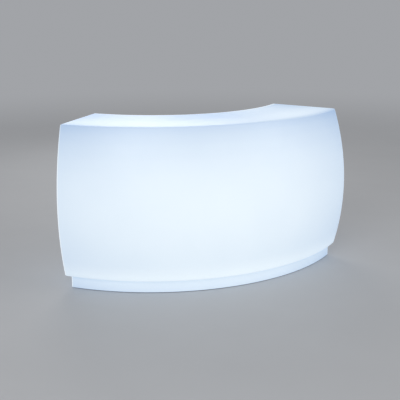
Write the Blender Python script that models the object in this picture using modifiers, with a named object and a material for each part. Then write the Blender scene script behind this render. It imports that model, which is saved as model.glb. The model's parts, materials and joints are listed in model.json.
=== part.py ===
"""Illuminated bar counter: a curved, rotationally moulded counter that is lit from inside.

Everything is in metres with +Z up. The guests' side faces -Y and the bartender stands on the +Y side.
A place in plan is given as a radius and an angle about the centre of the counter's arcs, the angle
growing towards +X, and the counter's two flat ends are planes that meet behind that centre.
"""

import math
from typing import NamedTuple

import bmesh
import bpy
from mathutils import Matrix, Vector

# The body moulding: the back's radius, and from there the depths of the top and of the front's lip
HEIGHT = 1.100
BACK_RADIUS = 0.940
TOP_DEPTH = 0.500
LIP_DEPTH = 0.530
BULGE = 0.080
END_ANGLE = math.radians(38.5)
APEX_SETBACK = 0.200
WALL = 0.006
EDGE_RADIUS = 0.012
LEAST_CORNER_RADIUS = 0.002
BULGE_STEPS = 10

# The plinth under it
PLINTH_HEIGHT = 0.090
PLINTH_FRONT_SETBACK = 0.032
PLINTH_BACK_SETBACK = 0.030
PLINTH_END_SETBACK = 0.030
SKIRT_GAP = 0.005
FLANGE_HEIGHT = 0.0203
FLANGE_WIDTH = 0.018

# Clearances
TOUCH = 0.0003
SEAT = 0.0006
RUNNING = 0.0005
CUT_MARGIN = 0.010
WELD = 0.00001

# How finely arcs are drawn
GRID_STEP = math.radians(3.0)
WIDEST_STEP = 1.5 * GRID_STEP
GRID_MARGIN = math.radians(0.6)
SHARP_TURN = math.radians(30.0)
CORNER_STEPS = 2
ROUND_STEPS = 16
STUD_STEPS = 12

# The service bay in the back
BAY_DEPTH = 0.290
BAY_END_INSET = 0.045
DECK_HEIGHT = 0.120
CEILING_HEIGHT = 1.040
LINER_WALL = 0.005
FLANGE_OVERLAP = 0.012
FLANGE_THICKNESS = 0.003

# Shelf boards and what carries them
SHELF_TOP = 0.600
SHELF_THICKNESS = 0.012
SHELF_SETBACK = 0.022
SHELF_JOINT_ANGLE = math.radians(13.0)
SHELF_GAP = 0.001
LEDGE_DEPTH = 0.018
LEDGE_HEIGHT = 0.018
LEDGE_SETBACK = 0.060
BRACKET_THICKNESS = 0.006
BRACKET_REACH = 0.230
BRACKET_DROP = 0.085
BRACKET_ARM = 0.014
BRACKET_PAD_WIDTH = 0.036
BRACKET_PAD_THICKNESS = 0.003

# The base plate and the channels under the deck
PLATE_THICKNESS = 0.003
CHANNEL_ANGLE = math.radians(18.0)
CHANNEL_SETBACK = 0.150
CHANNEL_WIDTH = 0.060
CHANNEL_DEPTH = 0.120
CHANNEL_FOOT = 0.016
CHANNEL_SHEET = 0.003

# The hatch in the bay's back wall; the knob's profile is in shares of its radius and length
HATCH_HALF_WIDTH = 0.148
HATCH_LOW = 0.200
HATCH_HIGH = 0.500
DOOR_LAP = 0.012
DOOR_THICKNESS = 0.004
BARREL_RADIUS = 0.004
BARREL_OFFSET = 0.0055
BARREL_LENGTH = 0.260
KNUCKLE_LENGTH = 0.060
KNUCKLE_WALL = 0.0022
LEAF_WIDTH = 0.022
LEAF_THICKNESS = 0.002
PULL_RADIUS = 0.011
PULL_LENGTH = 0.020
PULL_INSET = 0.034
PULL_PROFILE = ((0, 1), (0.8, 1), (1, 0.85), (1, 0.65), (0.5, 0.4), (0.5, 0), (0, 0))
STRIKE_THICKNESS = 0.0015
CATCH_WIDTH = 0.016
CATCH_HEIGHT = 0.050
CATCH_DEPTH = 0.014

# The light columns, which stand a little behind the middle between the bay and the plinth's front
LIGHT_SETBACK = 0.019
LIGHT_SPACING = math.radians(22.0)
LIGHT_BASE_RADIUS = 0.040
LIGHT_BASE_THICKNESS = 0.006
LIGHT_BOSS_RADIUS = 0.024
LIGHT_BOSS_HEIGHT = 0.022
PROFILE_SIDE = 0.024
PROFILE_SLOT = 0.006
PROFILE_LENGTH = 0.880
STRIP_WIDTH = 0.010
STRIP_THICKNESS = 0.0016
STRIP_MARGIN = 0.015
TUBE_RADIUS = 0.030
TUBE_WALL = 0.002
TUBE_DOME_STEPS = 4
TUBE_HEADROOM = 0.012

# The driver
DRIVER_TO_LIGHT = 0.110
DRIVER_LENGTH = 0.200
DRIVER_DEPTH = 0.070
DRIVER_HEIGHT = 0.038
DRIVER_WALL = 0.003
LID_THICKNESS = 0.004

# The leads: the mains lead's bends lie some straights behind the switch and an angle off it, and the
# outer light leads' some straights before the column's base and at a share of the column's angle
LEAD_RADIUS = 0.003
LEAD_STEPS = 6
LEAD_GAP = 0.0008
LEAD_STRAIGHT = 0.014
LIGHT_LEAD_SPACING = 0.070
MAINS_LEAD_BENDS = ((3, math.radians(0.3)), (6, math.radians(1.5)))
LIGHT_LEAD_BENDS = ((3, 0.4), (3, 0.8), (2, 0.97), (1, 1.0), (0, 1.0))

# The mains inlet and the switch in the plinth's back wall
INLET_ANGLE = math.radians(8.0)
SWITCH_ANGLE = math.radians(11.5)
CONTROL_HEIGHT = 0.050
INLET_WIDTH = 0.036
INLET_TALL = 0.032
INLET_BODY_WIDTH = 0.028
INLET_BODY_TALL = 0.022
INLET_DEPTH = 0.034
INLET_WALL = 0.002
PIN_WIDTH = 0.002
PIN_HEIGHT = 0.004
PIN_LENGTH = 0.014
PIN_PITCH = 0.007
CONTROL_FLANGE = 0.0025
CAP_THICKNESS = 0.0025
CAP_BARREL_RADIUS = 0.0026
CAP_PIN_RADIUS = 0.0010
CAP_KNUCKLE = 0.012
CAP_SIDES = 12
SWITCH_WIDTH = 0.024
SWITCH_TALL = 0.034
SWITCH_BODY_WIDTH = 0.018
SWITCH_BODY_TALL = 0.026
SWITCH_DEPTH = 0.022
ROCKER_WIDTH = 0.013
ROCKER_TALL = 0.021
ROCKER_DEPTH = 0.007
ROCKER_PROUD = 0.0018
ROCKER_TILT = math.radians(7.0)
WELL_CLEARANCE = 0.002

# The levelling feet
FOOT_END_INSET = 0.086
FRONT_FOOT_INSET = 0.045
BACK_FOOT_INSET = 0.052
PAD_RADIUS = 0.020
PAD_THICKNESS = 0.010
PAD_CHAMFER = 0.003
PAD_SOCKET_RADIUS = 0.0075
PAD_FLOOR = 0.003
STUD_RADIUS = 0.005
STUD_BALL_RADIUS = 0.0068
STUD_LENGTH = 0.060
NUT_ACROSS = 0.017
NUT_HEIGHT = 0.014

# Radii about the arc centre
TOP_FRONT_RADIUS = BACK_RADIUS + TOP_DEPTH
LIP_FRONT_RADIUS = BACK_RADIUS + LIP_DEPTH
PLINTH_FRONT_RADIUS = LIP_FRONT_RADIUS - PLINTH_FRONT_SETBACK
PLINTH_BACK_RADIUS = BACK_RADIUS + PLINTH_BACK_SETBACK
BAY_RADIUS = BACK_RADIUS + BAY_DEPTH
SHELF_FRONT_RADIUS = BACK_RADIUS + SHELF_SETBACK
LEDGE_FRONT_RADIUS = BACK_RADIUS + LEDGE_SETBACK
CHANNEL_RADIUS = BACK_RADIUS + CHANNEL_SETBACK
LIGHT_RADIUS = (BAY_RADIUS + PLINTH_FRONT_RADIUS) / 2 - LIGHT_SETBACK
DRIVER_RADIUS = LIGHT_RADIUS - LIGHT_BASE_RADIUS - DRIVER_TO_LIGHT - DRIVER_DEPTH / 2
FRONT_FOOT_RADIUS = PLINTH_FRONT_RADIUS - FRONT_FOOT_INSET
BACK_FOOT_RADIUS = PLINTH_BACK_RADIUS + BACK_FOOT_INSET

# Places that more than one piece is made to
PLATE_TOP = FLANGE_HEIGHT - TOUCH
ON_PLATE = PLATE_TOP + TOUCH
DECK_UNDERSIDE = DECK_HEIGHT - LINER_WALL
UNDER_SHELF = SHELF_TOP - SHELF_THICKNESS - TOUCH
HATCH_MIDDLE = (HATCH_LOW + HATCH_HIGH) / 2
DOOR_FACE = BAY_RADIUS - SEAT
DOOR_RIGHT = (HATCH_HALF_WIDTH + DOOR_LAP) / BAY_RADIUS
BARREL_ANGLE = -DOOR_RIGHT - BARREL_OFFSET / BAY_RADIUS
BARREL_BORE = BARREL_RADIUS - KNUCKLE_WALL
BARREL_LOW = HATCH_MIDDLE - BARREL_LENGTH / 2
BARREL_HIGH = HATCH_MIDDLE + BARREL_LENGTH / 2
DOOR_BARREL_LOW = BARREL_LOW + KNUCKLE_LENGTH + RUNNING
DOOR_BARREL_HIGH = BARREL_HIGH - KNUCKLE_LENGTH - RUNNING
CAP_BARREL_Y = CONTROL_FLANGE + CAP_BARREL_RADIUS / 2
CAP_BARREL_Z = (INLET_TALL + CAP_BARREL_RADIUS) / 2
CAP_BORE = CAP_PIN_RADIUS + TOUCH
CAP_HALF = INLET_WIDTH / 2 - RUNNING
CAP_INNER_HALF = CAP_HALF - CAP_KNUCKLE - RUNNING


class Ray(NamedTuple):
    """A line in plan that leaves the Y axis at apex, measured from the arc centre, at an angle."""

    apex: float
    angle: float


def front_radius(height):
    """The bulging front's radius at a height, a parabola laid over the slope from lip to top."""
    share = (height - PLINTH_HEIGHT) / (HEIGHT - PLINTH_HEIGHT)
    slope = LIP_FRONT_RADIUS + (TOP_FRONT_RADIUS - LIP_FRONT_RADIUS) * share
    return slope + 4 * BULGE * share * (1 - share)


def heights(inset):
    """Heights of the section's points up the front, with the section moved inwards by inset."""
    low = PLINTH_HEIGHT + inset
    high = HEIGHT - inset
    return [low + (high - low) * step / BULGE_STEPS for step in range(BULGE_STEPS + 1)]


def widest_front_radius():
    """The radius of the section's outermost point."""
    return max(front_radius(height) for height in heights(0))


def edge_insets():
    """For each slice that rounds an end face's edges: how far it lies, and its section is, inwards."""
    turns = [math.pi / 2 * step / CORNER_STEPS for step in range(CORNER_STEPS + 1)]
    return [(EDGE_RADIUS * (1 - math.cos(turn)), EDGE_RADIUS * (1 - math.sin(turn))) for turn in turns]


def reach(ray, radius):
    """How far along the ray its point at that radius lies."""
    return ray.apex * math.cos(ray.angle) + math.sqrt(radius**2 - (ray.apex * math.sin(ray.angle)) ** 2)


def polar(ray, radius):
    """The angle about the arc centre of the ray's point at that radius."""
    return math.asin(reach(ray, radius) * math.sin(ray.angle) / radius)


def end_ray(inset, side=1):
    """The end plane on that side, +1 or -1, moved inwards by inset."""
    return Ray(APEX_SETBACK - inset / math.sin(END_ANGLE), side * END_ANGLE)


def arc_centre_y():
    """Y of the arc centre, which puts the origin at the middle of the counter's depth."""
    depths = []
    for distance, inset in edge_insets():
        ray = end_ray(distance)
        depths.append(reach(ray, BACK_RADIUS + inset) * math.cos(ray.angle) - ray.apex)
    return (widest_front_radius() + min(depths)) / 2


ARC_CENTRE_Y = arc_centre_y()


def plan(radius, angle, height=0.0):
    """The point at that radius and angle about the arc centre."""
    return Vector((radius * math.sin(angle), ARC_CENTRE_Y - radius * math.cos(angle), height))


def on_ray(ray, radius, height):
    """The ray's point at that radius and height."""
    return plan(radius, polar(ray, radius), height)


def fan(first, last):
    """Rays from first to last: between them the shared grid, so that neighbouring arcs have like facets."""
    radii = (BACK_RADIUS, widest_front_radius())
    low = max(polar(first, radius) for radius in radii) + GRID_MARGIN
    high = min(polar(last, radius) for radius in radii) - GRID_MARGIN
    steps = range(math.ceil(low / GRID_STEP), math.floor(high / GRID_STEP) + 1)
    rays = [first, *(Ray(0.0, step * GRID_STEP) for step in steps), last]
    filled = rays[:1]
    for before, after in zip(rays, rays[1:]):
        if polar(after, BACK_RADIUS) - polar(before, BACK_RADIUS) > WIDEST_STEP:
            filled.append(Ray((before.apex + after.apex) / 2, (before.angle + after.angle) / 2))
        filled.append(after)
    return filled


def rounded(outline, radius):
    """The outline with each sharp corner turned into an arc of that radius."""
    points = []
    for before, corner, after in zip(outline[-1:] + outline[:-1], outline, outline[1:] + outline[:1]):
        inwards = (corner - before).normalized()
        outwards = (after - corner).normalized()
        turn = math.atan2(inwards.x * outwards.y - inwards.y * outwards.x, inwards.dot(outwards))
        if abs(turn) < SHARP_TURN:
            points.append(corner)
            continue
        start = corner - inwards * radius * math.tan(abs(turn) / 2)
        side = math.copysign(1, turn)
        centre = start + Vector((-inwards.y, inwards.x)) * side * radius
        for step in range(CORNER_STEPS + 1):
            points.append(centre + Matrix.Rotation(turn * step / CORNER_STEPS, 2) @ (start - centre))
    return points


def body_outline(inset):
    """The body's section, as (radius, height) points, moved inwards by inset."""
    front = [Vector((front_radius(height) - inset, height)) for height in heights(inset)]
    back = [Vector((BACK_RADIUS + inset, point.y)) for point in (front[-1], front[0])]
    return front + back


def plinth_outline(inset, low, high):
    """The plinth's section between two heights, its walls moved inwards by inset."""
    return block_outline(PLINTH_BACK_RADIUS + inset, PLINTH_FRONT_RADIUS - inset, low, high)


def block_outline(inner, outer, low, high):
    """A plain four-cornered section."""
    return [Vector(point) for point in ((outer, low), (outer, high), (inner, high), (inner, low))]


def loft(slices):
    """A closed mesh through slices, each a ray and the closed section that stands on it."""
    bm = bmesh.new()
    rings = [[bm.verts.new(on_ray(ray, point.x, point.y)) for point in outline] for ray, outline in slices]
    for first, second in zip(rings, rings[1:]):
        for here in range(len(first)):
            after = (here + 1) % len(first)
            bm.faces.new((first[here], first[after], second[after], second[here]))
    bm.faces.new(rings[0])
    bm.faces.new(rings[-1])
    return finished(bm)


def sector(outline, first, last):
    """A closed mesh that carries one section from the first ray to the last."""
    return loft([(ray, outline) for ray in fan(first, last)])


def end_to_end(outline, inset):
    """A closed mesh that carries one section between the two end planes, both moved in by inset."""
    return sector(outline, end_ray(inset, -1), end_ray(inset))


def soft_ended(outline_at, inset):
    """As end_to_end, with the edges of both end faces rounded: outline_at gives the section at an inset."""
    slices = [(end_ray(inset + distance, -1), outline_at(moved)) for distance, moved in edge_insets()[:-1]]
    middle = fan(end_ray(inset + EDGE_RADIUS, -1), end_ray(inset + EDGE_RADIUS))
    right = [(Ray(ray.apex, -ray.angle), outline) for ray, outline in reversed(slices)]
    return loft(slices + [(ray, outline_at(0.0)) for ray in middle] + right)


def finished(bm):
    """The mesh of a closed bmesh, facing outwards, in triangles so that Booleans meet no bent faces."""
    bmesh.ops.recalc_face_normals(bm, faces=bm.faces)
    bmesh.ops.triangulate(bm, faces=bm.faces)
    mesh = bpy.data.meshes.new("mesh")
    bm.to_mesh(mesh)
    bm.free()
    return mesh


def box(width, depth, height, centre=(0, 0, 0)):
    """A box mesh about a centre."""
    bm = bmesh.new()
    size = Matrix.Diagonal((width, depth, height, 1))
    bmesh.ops.create_cube(bm, size=1, matrix=Matrix.Translation(centre) @ size)
    return finished(bm)


def rods(radius, low, high, centres, axis="Z", sides=ROUND_STEPS):
    """Closed cylinders that run from low to high along an axis, one through each centre."""
    turns = {"X": Matrix.Rotation(math.pi / 2, 4, "Y"), "Y": Matrix.Rotation(-math.pi / 2, 4, "X")}
    bm = bmesh.new()
    for centre in centres:
        along = turns.get(axis, Matrix.Identity(4)) @ Matrix.Translation((0, 0, (low + high) / 2))
        bmesh.ops.create_cone(
            bm, cap_ends=True, segments=sides, radius1=radius, radius2=radius, depth=high - low,
            matrix=Matrix.Translation(centre) @ along,
        )
    return finished(bm)


def flat_plate(outline, thickness):
    """A plate with that outline in its own XY plane, thick to both sides of it, as a welded mesh."""
    curve = bpy.data.curves.new("outline", "CURVE")
    curve.dimensions = "2D"
    curve.fill_mode = "BOTH"
    curve.extrude = thickness / 2
    spline = curve.splines.new("POLY")
    spline.points.add(len(outline) - 1)
    for point, (x, y) in zip(spline.points, outline):
        point.co = (x, y, 0, 1)
    spline.use_cyclic_u = True
    source = bpy.data.objects.new("outline", curve)
    CUTTERS.objects.link(source)
    graph = bpy.context.evaluated_depsgraph_get()
    mesh = bpy.data.meshes.new_from_object(source.evaluated_get(graph))
    bpy.data.objects.remove(source)
    bm = bmesh.new()
    bm.from_mesh(mesh)
    bmesh.ops.remove_doubles(bm, verts=bm.verts, dist=WELD)
    bpy.data.meshes.remove(mesh)
    return finished(bm)


def profile_mesh(profile):
    """The bare profile of a turned piece: radius and height down its outer side."""
    bm = bmesh.new()
    verts = [bm.verts.new((radius, 0, height)) for radius, height in profile]
    for first, second in zip(verts, verts[1:]):
        bm.edges.new((first, second))
    mesh = bpy.data.meshes.new("profile")
    bm.to_mesh(mesh)
    bm.free()
    return mesh


def material(name, colour, roughness, metallic=0.0, glow=0.0):
    """A Principled material; glow is the strength of the light that its own colour gives off."""
    made = bpy.data.materials.new(name)
    made.use_nodes = True
    shader = made.node_tree.nodes["Principled BSDF"]
    shader.inputs["Base Color"].default_value = (*colour, 1)
    shader.inputs["Roughness"].default_value = roughness
    shader.inputs["Metallic"].default_value = metallic
    shader.inputs["Emission Color"].default_value = (*colour, 1)
    shader.inputs["Emission Strength"].default_value = glow
    made.diffuse_color = (*colour, 1)
    return made


def part(name, mesh, finish, at=(0, 0, 0), angle=0.0, axis=None):
    """A named piece, turned about Z and placed, and carried by the empty of its joint if it has one."""
    made = bpy.data.objects.new(name, mesh)
    mesh.name = name
    mesh.materials.clear()
    mesh.materials.append(finish)
    made.matrix_world = Matrix.Translation(at) @ Matrix.Rotation(angle, 4, "Z")
    PARTS.objects.link(made)
    if axis:
        made.parent = axis
        made.matrix_parent_inverse = axis.matrix_world.inverted()
    return made


def spin(made, axis="Z", steps=ROUND_STEPS):
    """Turns a piece's bare profile about its own origin."""
    screw = made.modifiers.new("turn", "SCREW")
    screw.axis = axis
    screw.steps = steps
    screw.render_steps = steps
    screw.use_merge_vertices = True
    screw.merge_threshold = WELD


def joint_axis(name, at, angle=0.0):
    """An empty on a joint's axis, with its pieces as its children."""
    empty = bpy.data.objects.new(name, None)
    empty.empty_display_size = 0.03
    empty.matrix_world = Matrix.Translation(at) @ Matrix.Rotation(angle, 4, "Z")
    PARTS.objects.link(empty)
    bpy.context.view_layer.update()
    return empty


def placed(mesh, at=(0, 0, 0), angle=0.0):
    """The mesh turned about Z and moved to its place."""
    mesh.transform(Matrix.Translation(at) @ Matrix.Rotation(angle, 4, "Z"))
    return mesh


def combine(target, operation, meshes, solver):
    """Adds one Boolean modifier for several meshes, which stand where they are in the world."""
    tools = bpy.data.collections.new(f"{target.name}_{operation.lower()}")
    CUTTERS.children.link(tools)
    for mesh in meshes:
        tool = bpy.data.objects.new(tools.name, mesh)
        tool.hide_render = True
        tool.display_type = "WIRE"
        tools.objects.link(tool)
    boolean = target.modifiers.new(tools.name, "BOOLEAN")
    boolean.operation = operation
    boolean.solver = solver
    boolean.operand_type = "COLLECTION"
    boolean.collection = tools


def cut(target, *meshes, solver="EXACT"):
    """Takes meshes away from a piece."""
    combine(target, "DIFFERENCE", meshes, solver)


def join(target, *meshes, solver="EXACT"):
    """Makes meshes part of a piece."""
    combine(target, "UNION", meshes, solver)


def foot_places():
    """Plan radius and angle of the six feet: three under the front and three under the back."""
    places = []
    for radius in (FRONT_FOOT_RADIUS, BACK_FOOT_RADIUS):
        corner = polar(end_ray(FOOT_END_INSET), radius)
        places += [(radius, angle) for angle in (-corner, 0.0, corner)]
    return places


def control_window(angle, width, tall):
    """The window in the plinth's back wall that a panel-mounted body goes through."""
    window = box(width + 2 * RUNNING, 2 * (WALL + CUT_MARGIN), tall + 2 * RUNNING)
    return placed(window, plan(PLINTH_BACK_RADIUS, angle, CONTROL_HEIGHT), angle)


def make_shell(finish):
    """The one-piece outer moulding: front, top, ends, back frame and plinth, open below."""
    corner = EDGE_RADIUS + LEAST_CORNER_RADIUS
    skin = soft_ended(lambda inset: rounded(body_outline(inset), corner - inset), 0)
    shell = part("counter_shell", skin, finish)
    above = PLINTH_HEIGHT + WALL + CUT_MARGIN
    flange_top = FLANGE_HEIGHT + WALL
    inside = PLINTH_END_SETBACK + WALL
    mouth = plinth_outline(WALL + FLANGE_WIDTH, FLANGE_HEIGHT - CUT_MARGIN / 2, flange_top + CUT_MARGIN / 2)
    opening = block_outline(
        BACK_RADIUS - CUT_MARGIN, BACK_RADIUS + WALL + CUT_MARGIN, DECK_UNDERSIDE - SEAT,
        CEILING_HEIGHT + LINER_WALL + SEAT,
    )
    plinth_top = above - CUT_MARGIN / 2
    plinth = soft_ended(lambda inset: plinth_outline(inset, SKIRT_GAP, plinth_top), PLINTH_END_SETBACK)
    join(shell, plinth, solver="MANIFOLD")
    cut(
        shell,
        end_to_end(body_outline(WALL), WALL),
        end_to_end(plinth_outline(WALL, flange_top, above), inside),
        end_to_end(plinth_outline(WALL, SKIRT_GAP - CUT_MARGIN, FLANGE_HEIGHT), inside),
        end_to_end(mouth, inside + FLANGE_WIDTH),
        end_to_end(opening, BAY_END_INSET - LINER_WALL - SEAT),
        control_window(INLET_ANGLE, INLET_BODY_WIDTH, INLET_BODY_TALL),
        control_window(SWITCH_ANGLE, SWITCH_BODY_WIDTH, SWITCH_BODY_TALL),
        solver="MANIFOLD",
    )


def end_ledge(side):
    """The ledge on one end wall of the bay that carries a shelf board's end."""
    low = UNDER_SHELF - LEDGE_HEIGHT
    outline = block_outline(LEDGE_FRONT_RADIUS, BAY_RADIUS + LINER_WALL / 2, low, UNDER_SHELF)
    rays = [end_ray(inset, side) for inset in (BAY_END_INSET - LINER_WALL / 2, BAY_END_INSET + LEDGE_DEPTH)]
    return sector(outline, *sorted(rays, key=lambda ray: polar(ray, BAY_RADIUS)))


def make_liner(finish):
    """The bay liner: a box open to the bartender, with a flange on the shell's back and two shelf ledges."""
    face = BACK_RADIUS - SEAT
    outer_end = BAY_END_INSET - LINER_WALL
    high = CEILING_HEIGHT + LINER_WALL
    frame = block_outline(
        face - FLANGE_THICKNESS, face, DECK_UNDERSIDE - FLANGE_OVERLAP, high + FLANGE_OVERLAP
    )
    liner = part("bay_liner", end_to_end(frame, outer_end - FLANGE_OVERLAP), finish)
    tub = block_outline(face - FLANGE_THICKNESS / 2, BAY_RADIUS + LINER_WALL, DECK_UNDERSIDE, high)
    hatch = block_outline(BAY_RADIUS - CUT_MARGIN, BAY_RADIUS + CUT_MARGIN, HATCH_LOW, HATCH_HIGH)
    hatch_side = HATCH_HALF_WIDTH / BAY_RADIUS
    join(liner, end_to_end(tub, outer_end), solver="MANIFOLD")
    cut(
        liner,
        end_to_end(block_outline(face - CUT_MARGIN, BAY_RADIUS, DECK_HEIGHT, CEILING_HEIGHT), BAY_END_INSET),
        sector(hatch, Ray(0, -hatch_side), Ray(0, hatch_side)),
        solver="MANIFOLD",
    )
    join(liner, end_ledge(-1), end_ledge(1), solver="MANIFOLD")


def make_shelves(board):
    """Three shelf boards, which end on the liner's ledges and meet over the brackets."""
    low = SHELF_TOP - SHELF_THICKNESS
    outline = block_outline(SHELF_FRONT_RADIUS, BAY_RADIUS - SHELF_GAP, low, SHELF_TOP)
    half_gap = SHELF_GAP / 2 / SHELF_FRONT_RADIUS
    inner = SHELF_JOINT_ANGLE - half_gap
    outer = SHELF_JOINT_ANGLE + half_gap
    end = BAY_END_INSET + SHELF_GAP
    spans = {
        "shelf_left": (end_ray(end, -1), Ray(0, -outer)),
        "shelf_middle": (Ray(0, -inner), Ray(0, inner)),
        "shelf_right": (Ray(0, outer), end_ray(end)),
    }
    for name, (first, last) in spans.items():
        part(name, sector(outline, first, last), board)


def make_bracket(name, angle, steel):
    """A bracket on the bay's back wall: an upright web with a pad on it that carries two boards."""
    gusset = [
        (0, 0), (BRACKET_REACH, 0), (BRACKET_REACH, -BRACKET_ARM), (BRACKET_ARM, -BRACKET_DROP),
        (0, -BRACKET_DROP),
    ]
    web = flat_plate(gusset, BRACKET_THICKNESS)
    web.transform(Matrix.Rotation(math.pi / 2, 4, "Z") @ Matrix.Rotation(math.pi / 2, 4, "X"))
    at = plan(BAY_RADIUS - SEAT, angle, UNDER_SHELF - BRACKET_PAD_THICKNESS / 2)
    bracket = part(name, web, steel, at, angle)
    pad = box(BRACKET_PAD_WIDTH, BRACKET_REACH, BRACKET_PAD_THICKNESS, (0, BRACKET_REACH / 2, 0))
    join(bracket, placed(pad, at, angle))


def make_base(steel):
    """The base plate inside the plinth's skirt, with holes that the feet's studs go through."""
    outline = plinth_outline(WALL + RUNNING, PLATE_TOP - PLATE_THICKNESS, PLATE_TOP)
    plate = part("base_plate", end_to_end(outline, PLINTH_END_SETBACK + WALL + RUNNING), steel)
    holes = [plan(radius, angle) for radius, angle in foot_places()]
    cut(plate, rods(STUD_RADIUS + 2 * RUNNING, 0, PLATE_TOP + CUT_MARGIN, holes))


def make_channel(name, angle, steel):
    """A folded channel that stands on the base plate and carries the bay's deck."""
    rise = DECK_UNDERSIDE - TOUCH - ON_PLATE
    half = CHANNEL_WIDTH / 2
    inner = half - CHANNEL_SHEET
    toe = half + CHANNEL_FOOT
    hat = [
        (-toe, 0), (-toe, CHANNEL_SHEET), (-half, CHANNEL_SHEET), (-half, rise),
        (half, rise), (half, CHANNEL_SHEET), (toe, CHANNEL_SHEET), (toe, 0),
        (inner, 0), (inner, rise - CHANNEL_SHEET), (-inner, rise - CHANNEL_SHEET), (-inner, 0),
    ]
    mesh = flat_plate(hat, CHANNEL_DEPTH)
    mesh.transform(Matrix.Rotation(math.pi / 2, 4, "X"))
    part(name, mesh, steel, plan(CHANNEL_RADIUS, angle, ON_PLATE), angle)


def barrel_rod(radius, low, high):
    """A rod on the hatch hinge's axis."""
    return rods(radius, low, high, [plan(DOOR_FACE - BARREL_RADIUS, BARREL_ANGLE)])


def make_door(panel, axis):
    """The hatch door, with its knuckle of the long hinge."""
    low = HATCH_LOW - DOOR_LAP
    high = HATCH_HIGH + DOOR_LAP
    outline = block_outline(DOOR_FACE - DOOR_THICKNESS, DOOR_FACE, low, high)
    door = part("hatch_door", sector(outline, Ray(0, -DOOR_RIGHT), Ray(0, DOOR_RIGHT)), panel, axis=axis)
    width = BARREL_OFFSET + DOOR_LAP / 2
    tongue = box(
        width, DOOR_THICKNESS / 2, DOOR_BARREL_HIGH - DOOR_BARREL_LOW,
        (width / 2, DOOR_THICKNESS / 2 - BARREL_RADIUS, HATCH_MIDDLE),
    )
    pivot = plan(DOOR_FACE - BARREL_RADIUS, BARREL_ANGLE)
    barrel = barrel_rod(BARREL_RADIUS, DOOR_BARREL_LOW, DOOR_BARREL_HIGH)
    join(door, placed(tongue, pivot, BARREL_ANGLE), barrel)
    cut(door, barrel_rod(BARREL_BORE, BARREL_LOW - CUT_MARGIN, BARREL_HIGH + CUT_MARGIN))


def make_leaf(steel):
    """The hinge's leaf on the bay's wall, and its pin."""
    edge = BARREL_ANGLE - BARREL_RADIUS / 2 / BAY_RADIUS
    outline = block_outline(DOOR_FACE - LEAF_THICKNESS, DOOR_FACE, BARREL_LOW, BARREL_HIGH)
    plate = sector(outline, Ray(0, edge - LEAF_WIDTH / BAY_RADIUS), Ray(0, edge))
    leaf = part("hatch_hinge_leaf", plate, steel)
    cut(leaf, barrel_rod(BARREL_RADIUS + RUNNING, DOOR_BARREL_LOW - RUNNING, DOOR_BARREL_HIGH + RUNNING))
    join(
        leaf,
        barrel_rod(BARREL_RADIUS, BARREL_LOW - TOUCH, DOOR_BARREL_LOW - RUNNING),
        barrel_rod(BARREL_RADIUS, DOOR_BARREL_HIGH + RUNNING, BARREL_HIGH + TOUCH),
    )
    cut(leaf, barrel_rod(BARREL_BORE, BARREL_LOW - CUT_MARGIN, BARREL_HIGH + CUT_MARGIN))
    part("hatch_hinge_pin", barrel_rod(BARREL_BORE - TOUCH, BARREL_LOW, BARREL_HIGH), steel)


def make_pull(dark, axis):
    """The knob on the door."""
    knob = profile_mesh([(PULL_RADIUS * radius, PULL_LENGTH * height) for radius, height in PULL_PROFILE])
    knob.transform(Matrix.Rotation(-math.pi / 2, 4, "X"))
    angle = DOOR_RIGHT - PULL_INSET / BAY_RADIUS
    at = plan(DOOR_FACE - DOOR_THICKNESS - SEAT, angle, HATCH_MIDDLE)
    spin(part("hatch_pull", knob, dark, at, angle, axis=axis), "Y")


def make_catch(steel, dark, axis):
    """The magnetic catch: a strike on the door's back, and a magnet at the opening's edge."""
    angle = (HATCH_HALF_WIDTH - TOUCH - CATCH_WIDTH / 2) / BAY_RADIUS
    strike = box(CATCH_WIDTH, STRIKE_THICKNESS, CATCH_HEIGHT, (0, -STRIKE_THICKNESS / 2 - TOUCH, 0))
    part("hatch_strike", strike, steel, plan(DOOR_FACE, angle, HATCH_MIDDLE), angle, axis=axis)
    magnet = box(CATCH_WIDTH, CATCH_DEPTH, CATCH_HEIGHT, (0, -CATCH_DEPTH / 2, 0))
    magnet_face = DOOR_FACE + STRIKE_THICKNESS + 2 * TOUCH
    part("hatch_magnet", magnet, dark, plan(magnet_face, angle, HATCH_MIDDLE), angle)


def make_light_profile(name, angle, low, aluminium, board):
    """A light column's slotted extrusion, with the LED strip on its front."""
    half = PROFILE_SIDE / 2
    slot = PROFILE_SLOT / 2
    quarter = [(slot, half - PROFILE_SLOT), (slot, half), (half, half), (half, slot)]
    turns = [Matrix.Rotation(-math.pi / 2 * turn, 2) for turn in range(4)]
    cross = [turn @ Vector(point) for turn in turns for point in quarter]
    at = plan(LIGHT_RADIUS, angle, low + PROFILE_LENGTH / 2)
    part(f"light_profile_{name}", flat_plate(cross, PROFILE_LENGTH), aluminium, at, angle)
    strip_place = (0, -half - TOUCH - STRIP_THICKNESS / 2, 0)
    strip = box(STRIP_WIDTH, STRIP_THICKNESS, PROFILE_LENGTH - 2 * STRIP_MARGIN, strip_place)
    part(f"led_strip_{name}", strip, board, at, angle)


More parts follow.
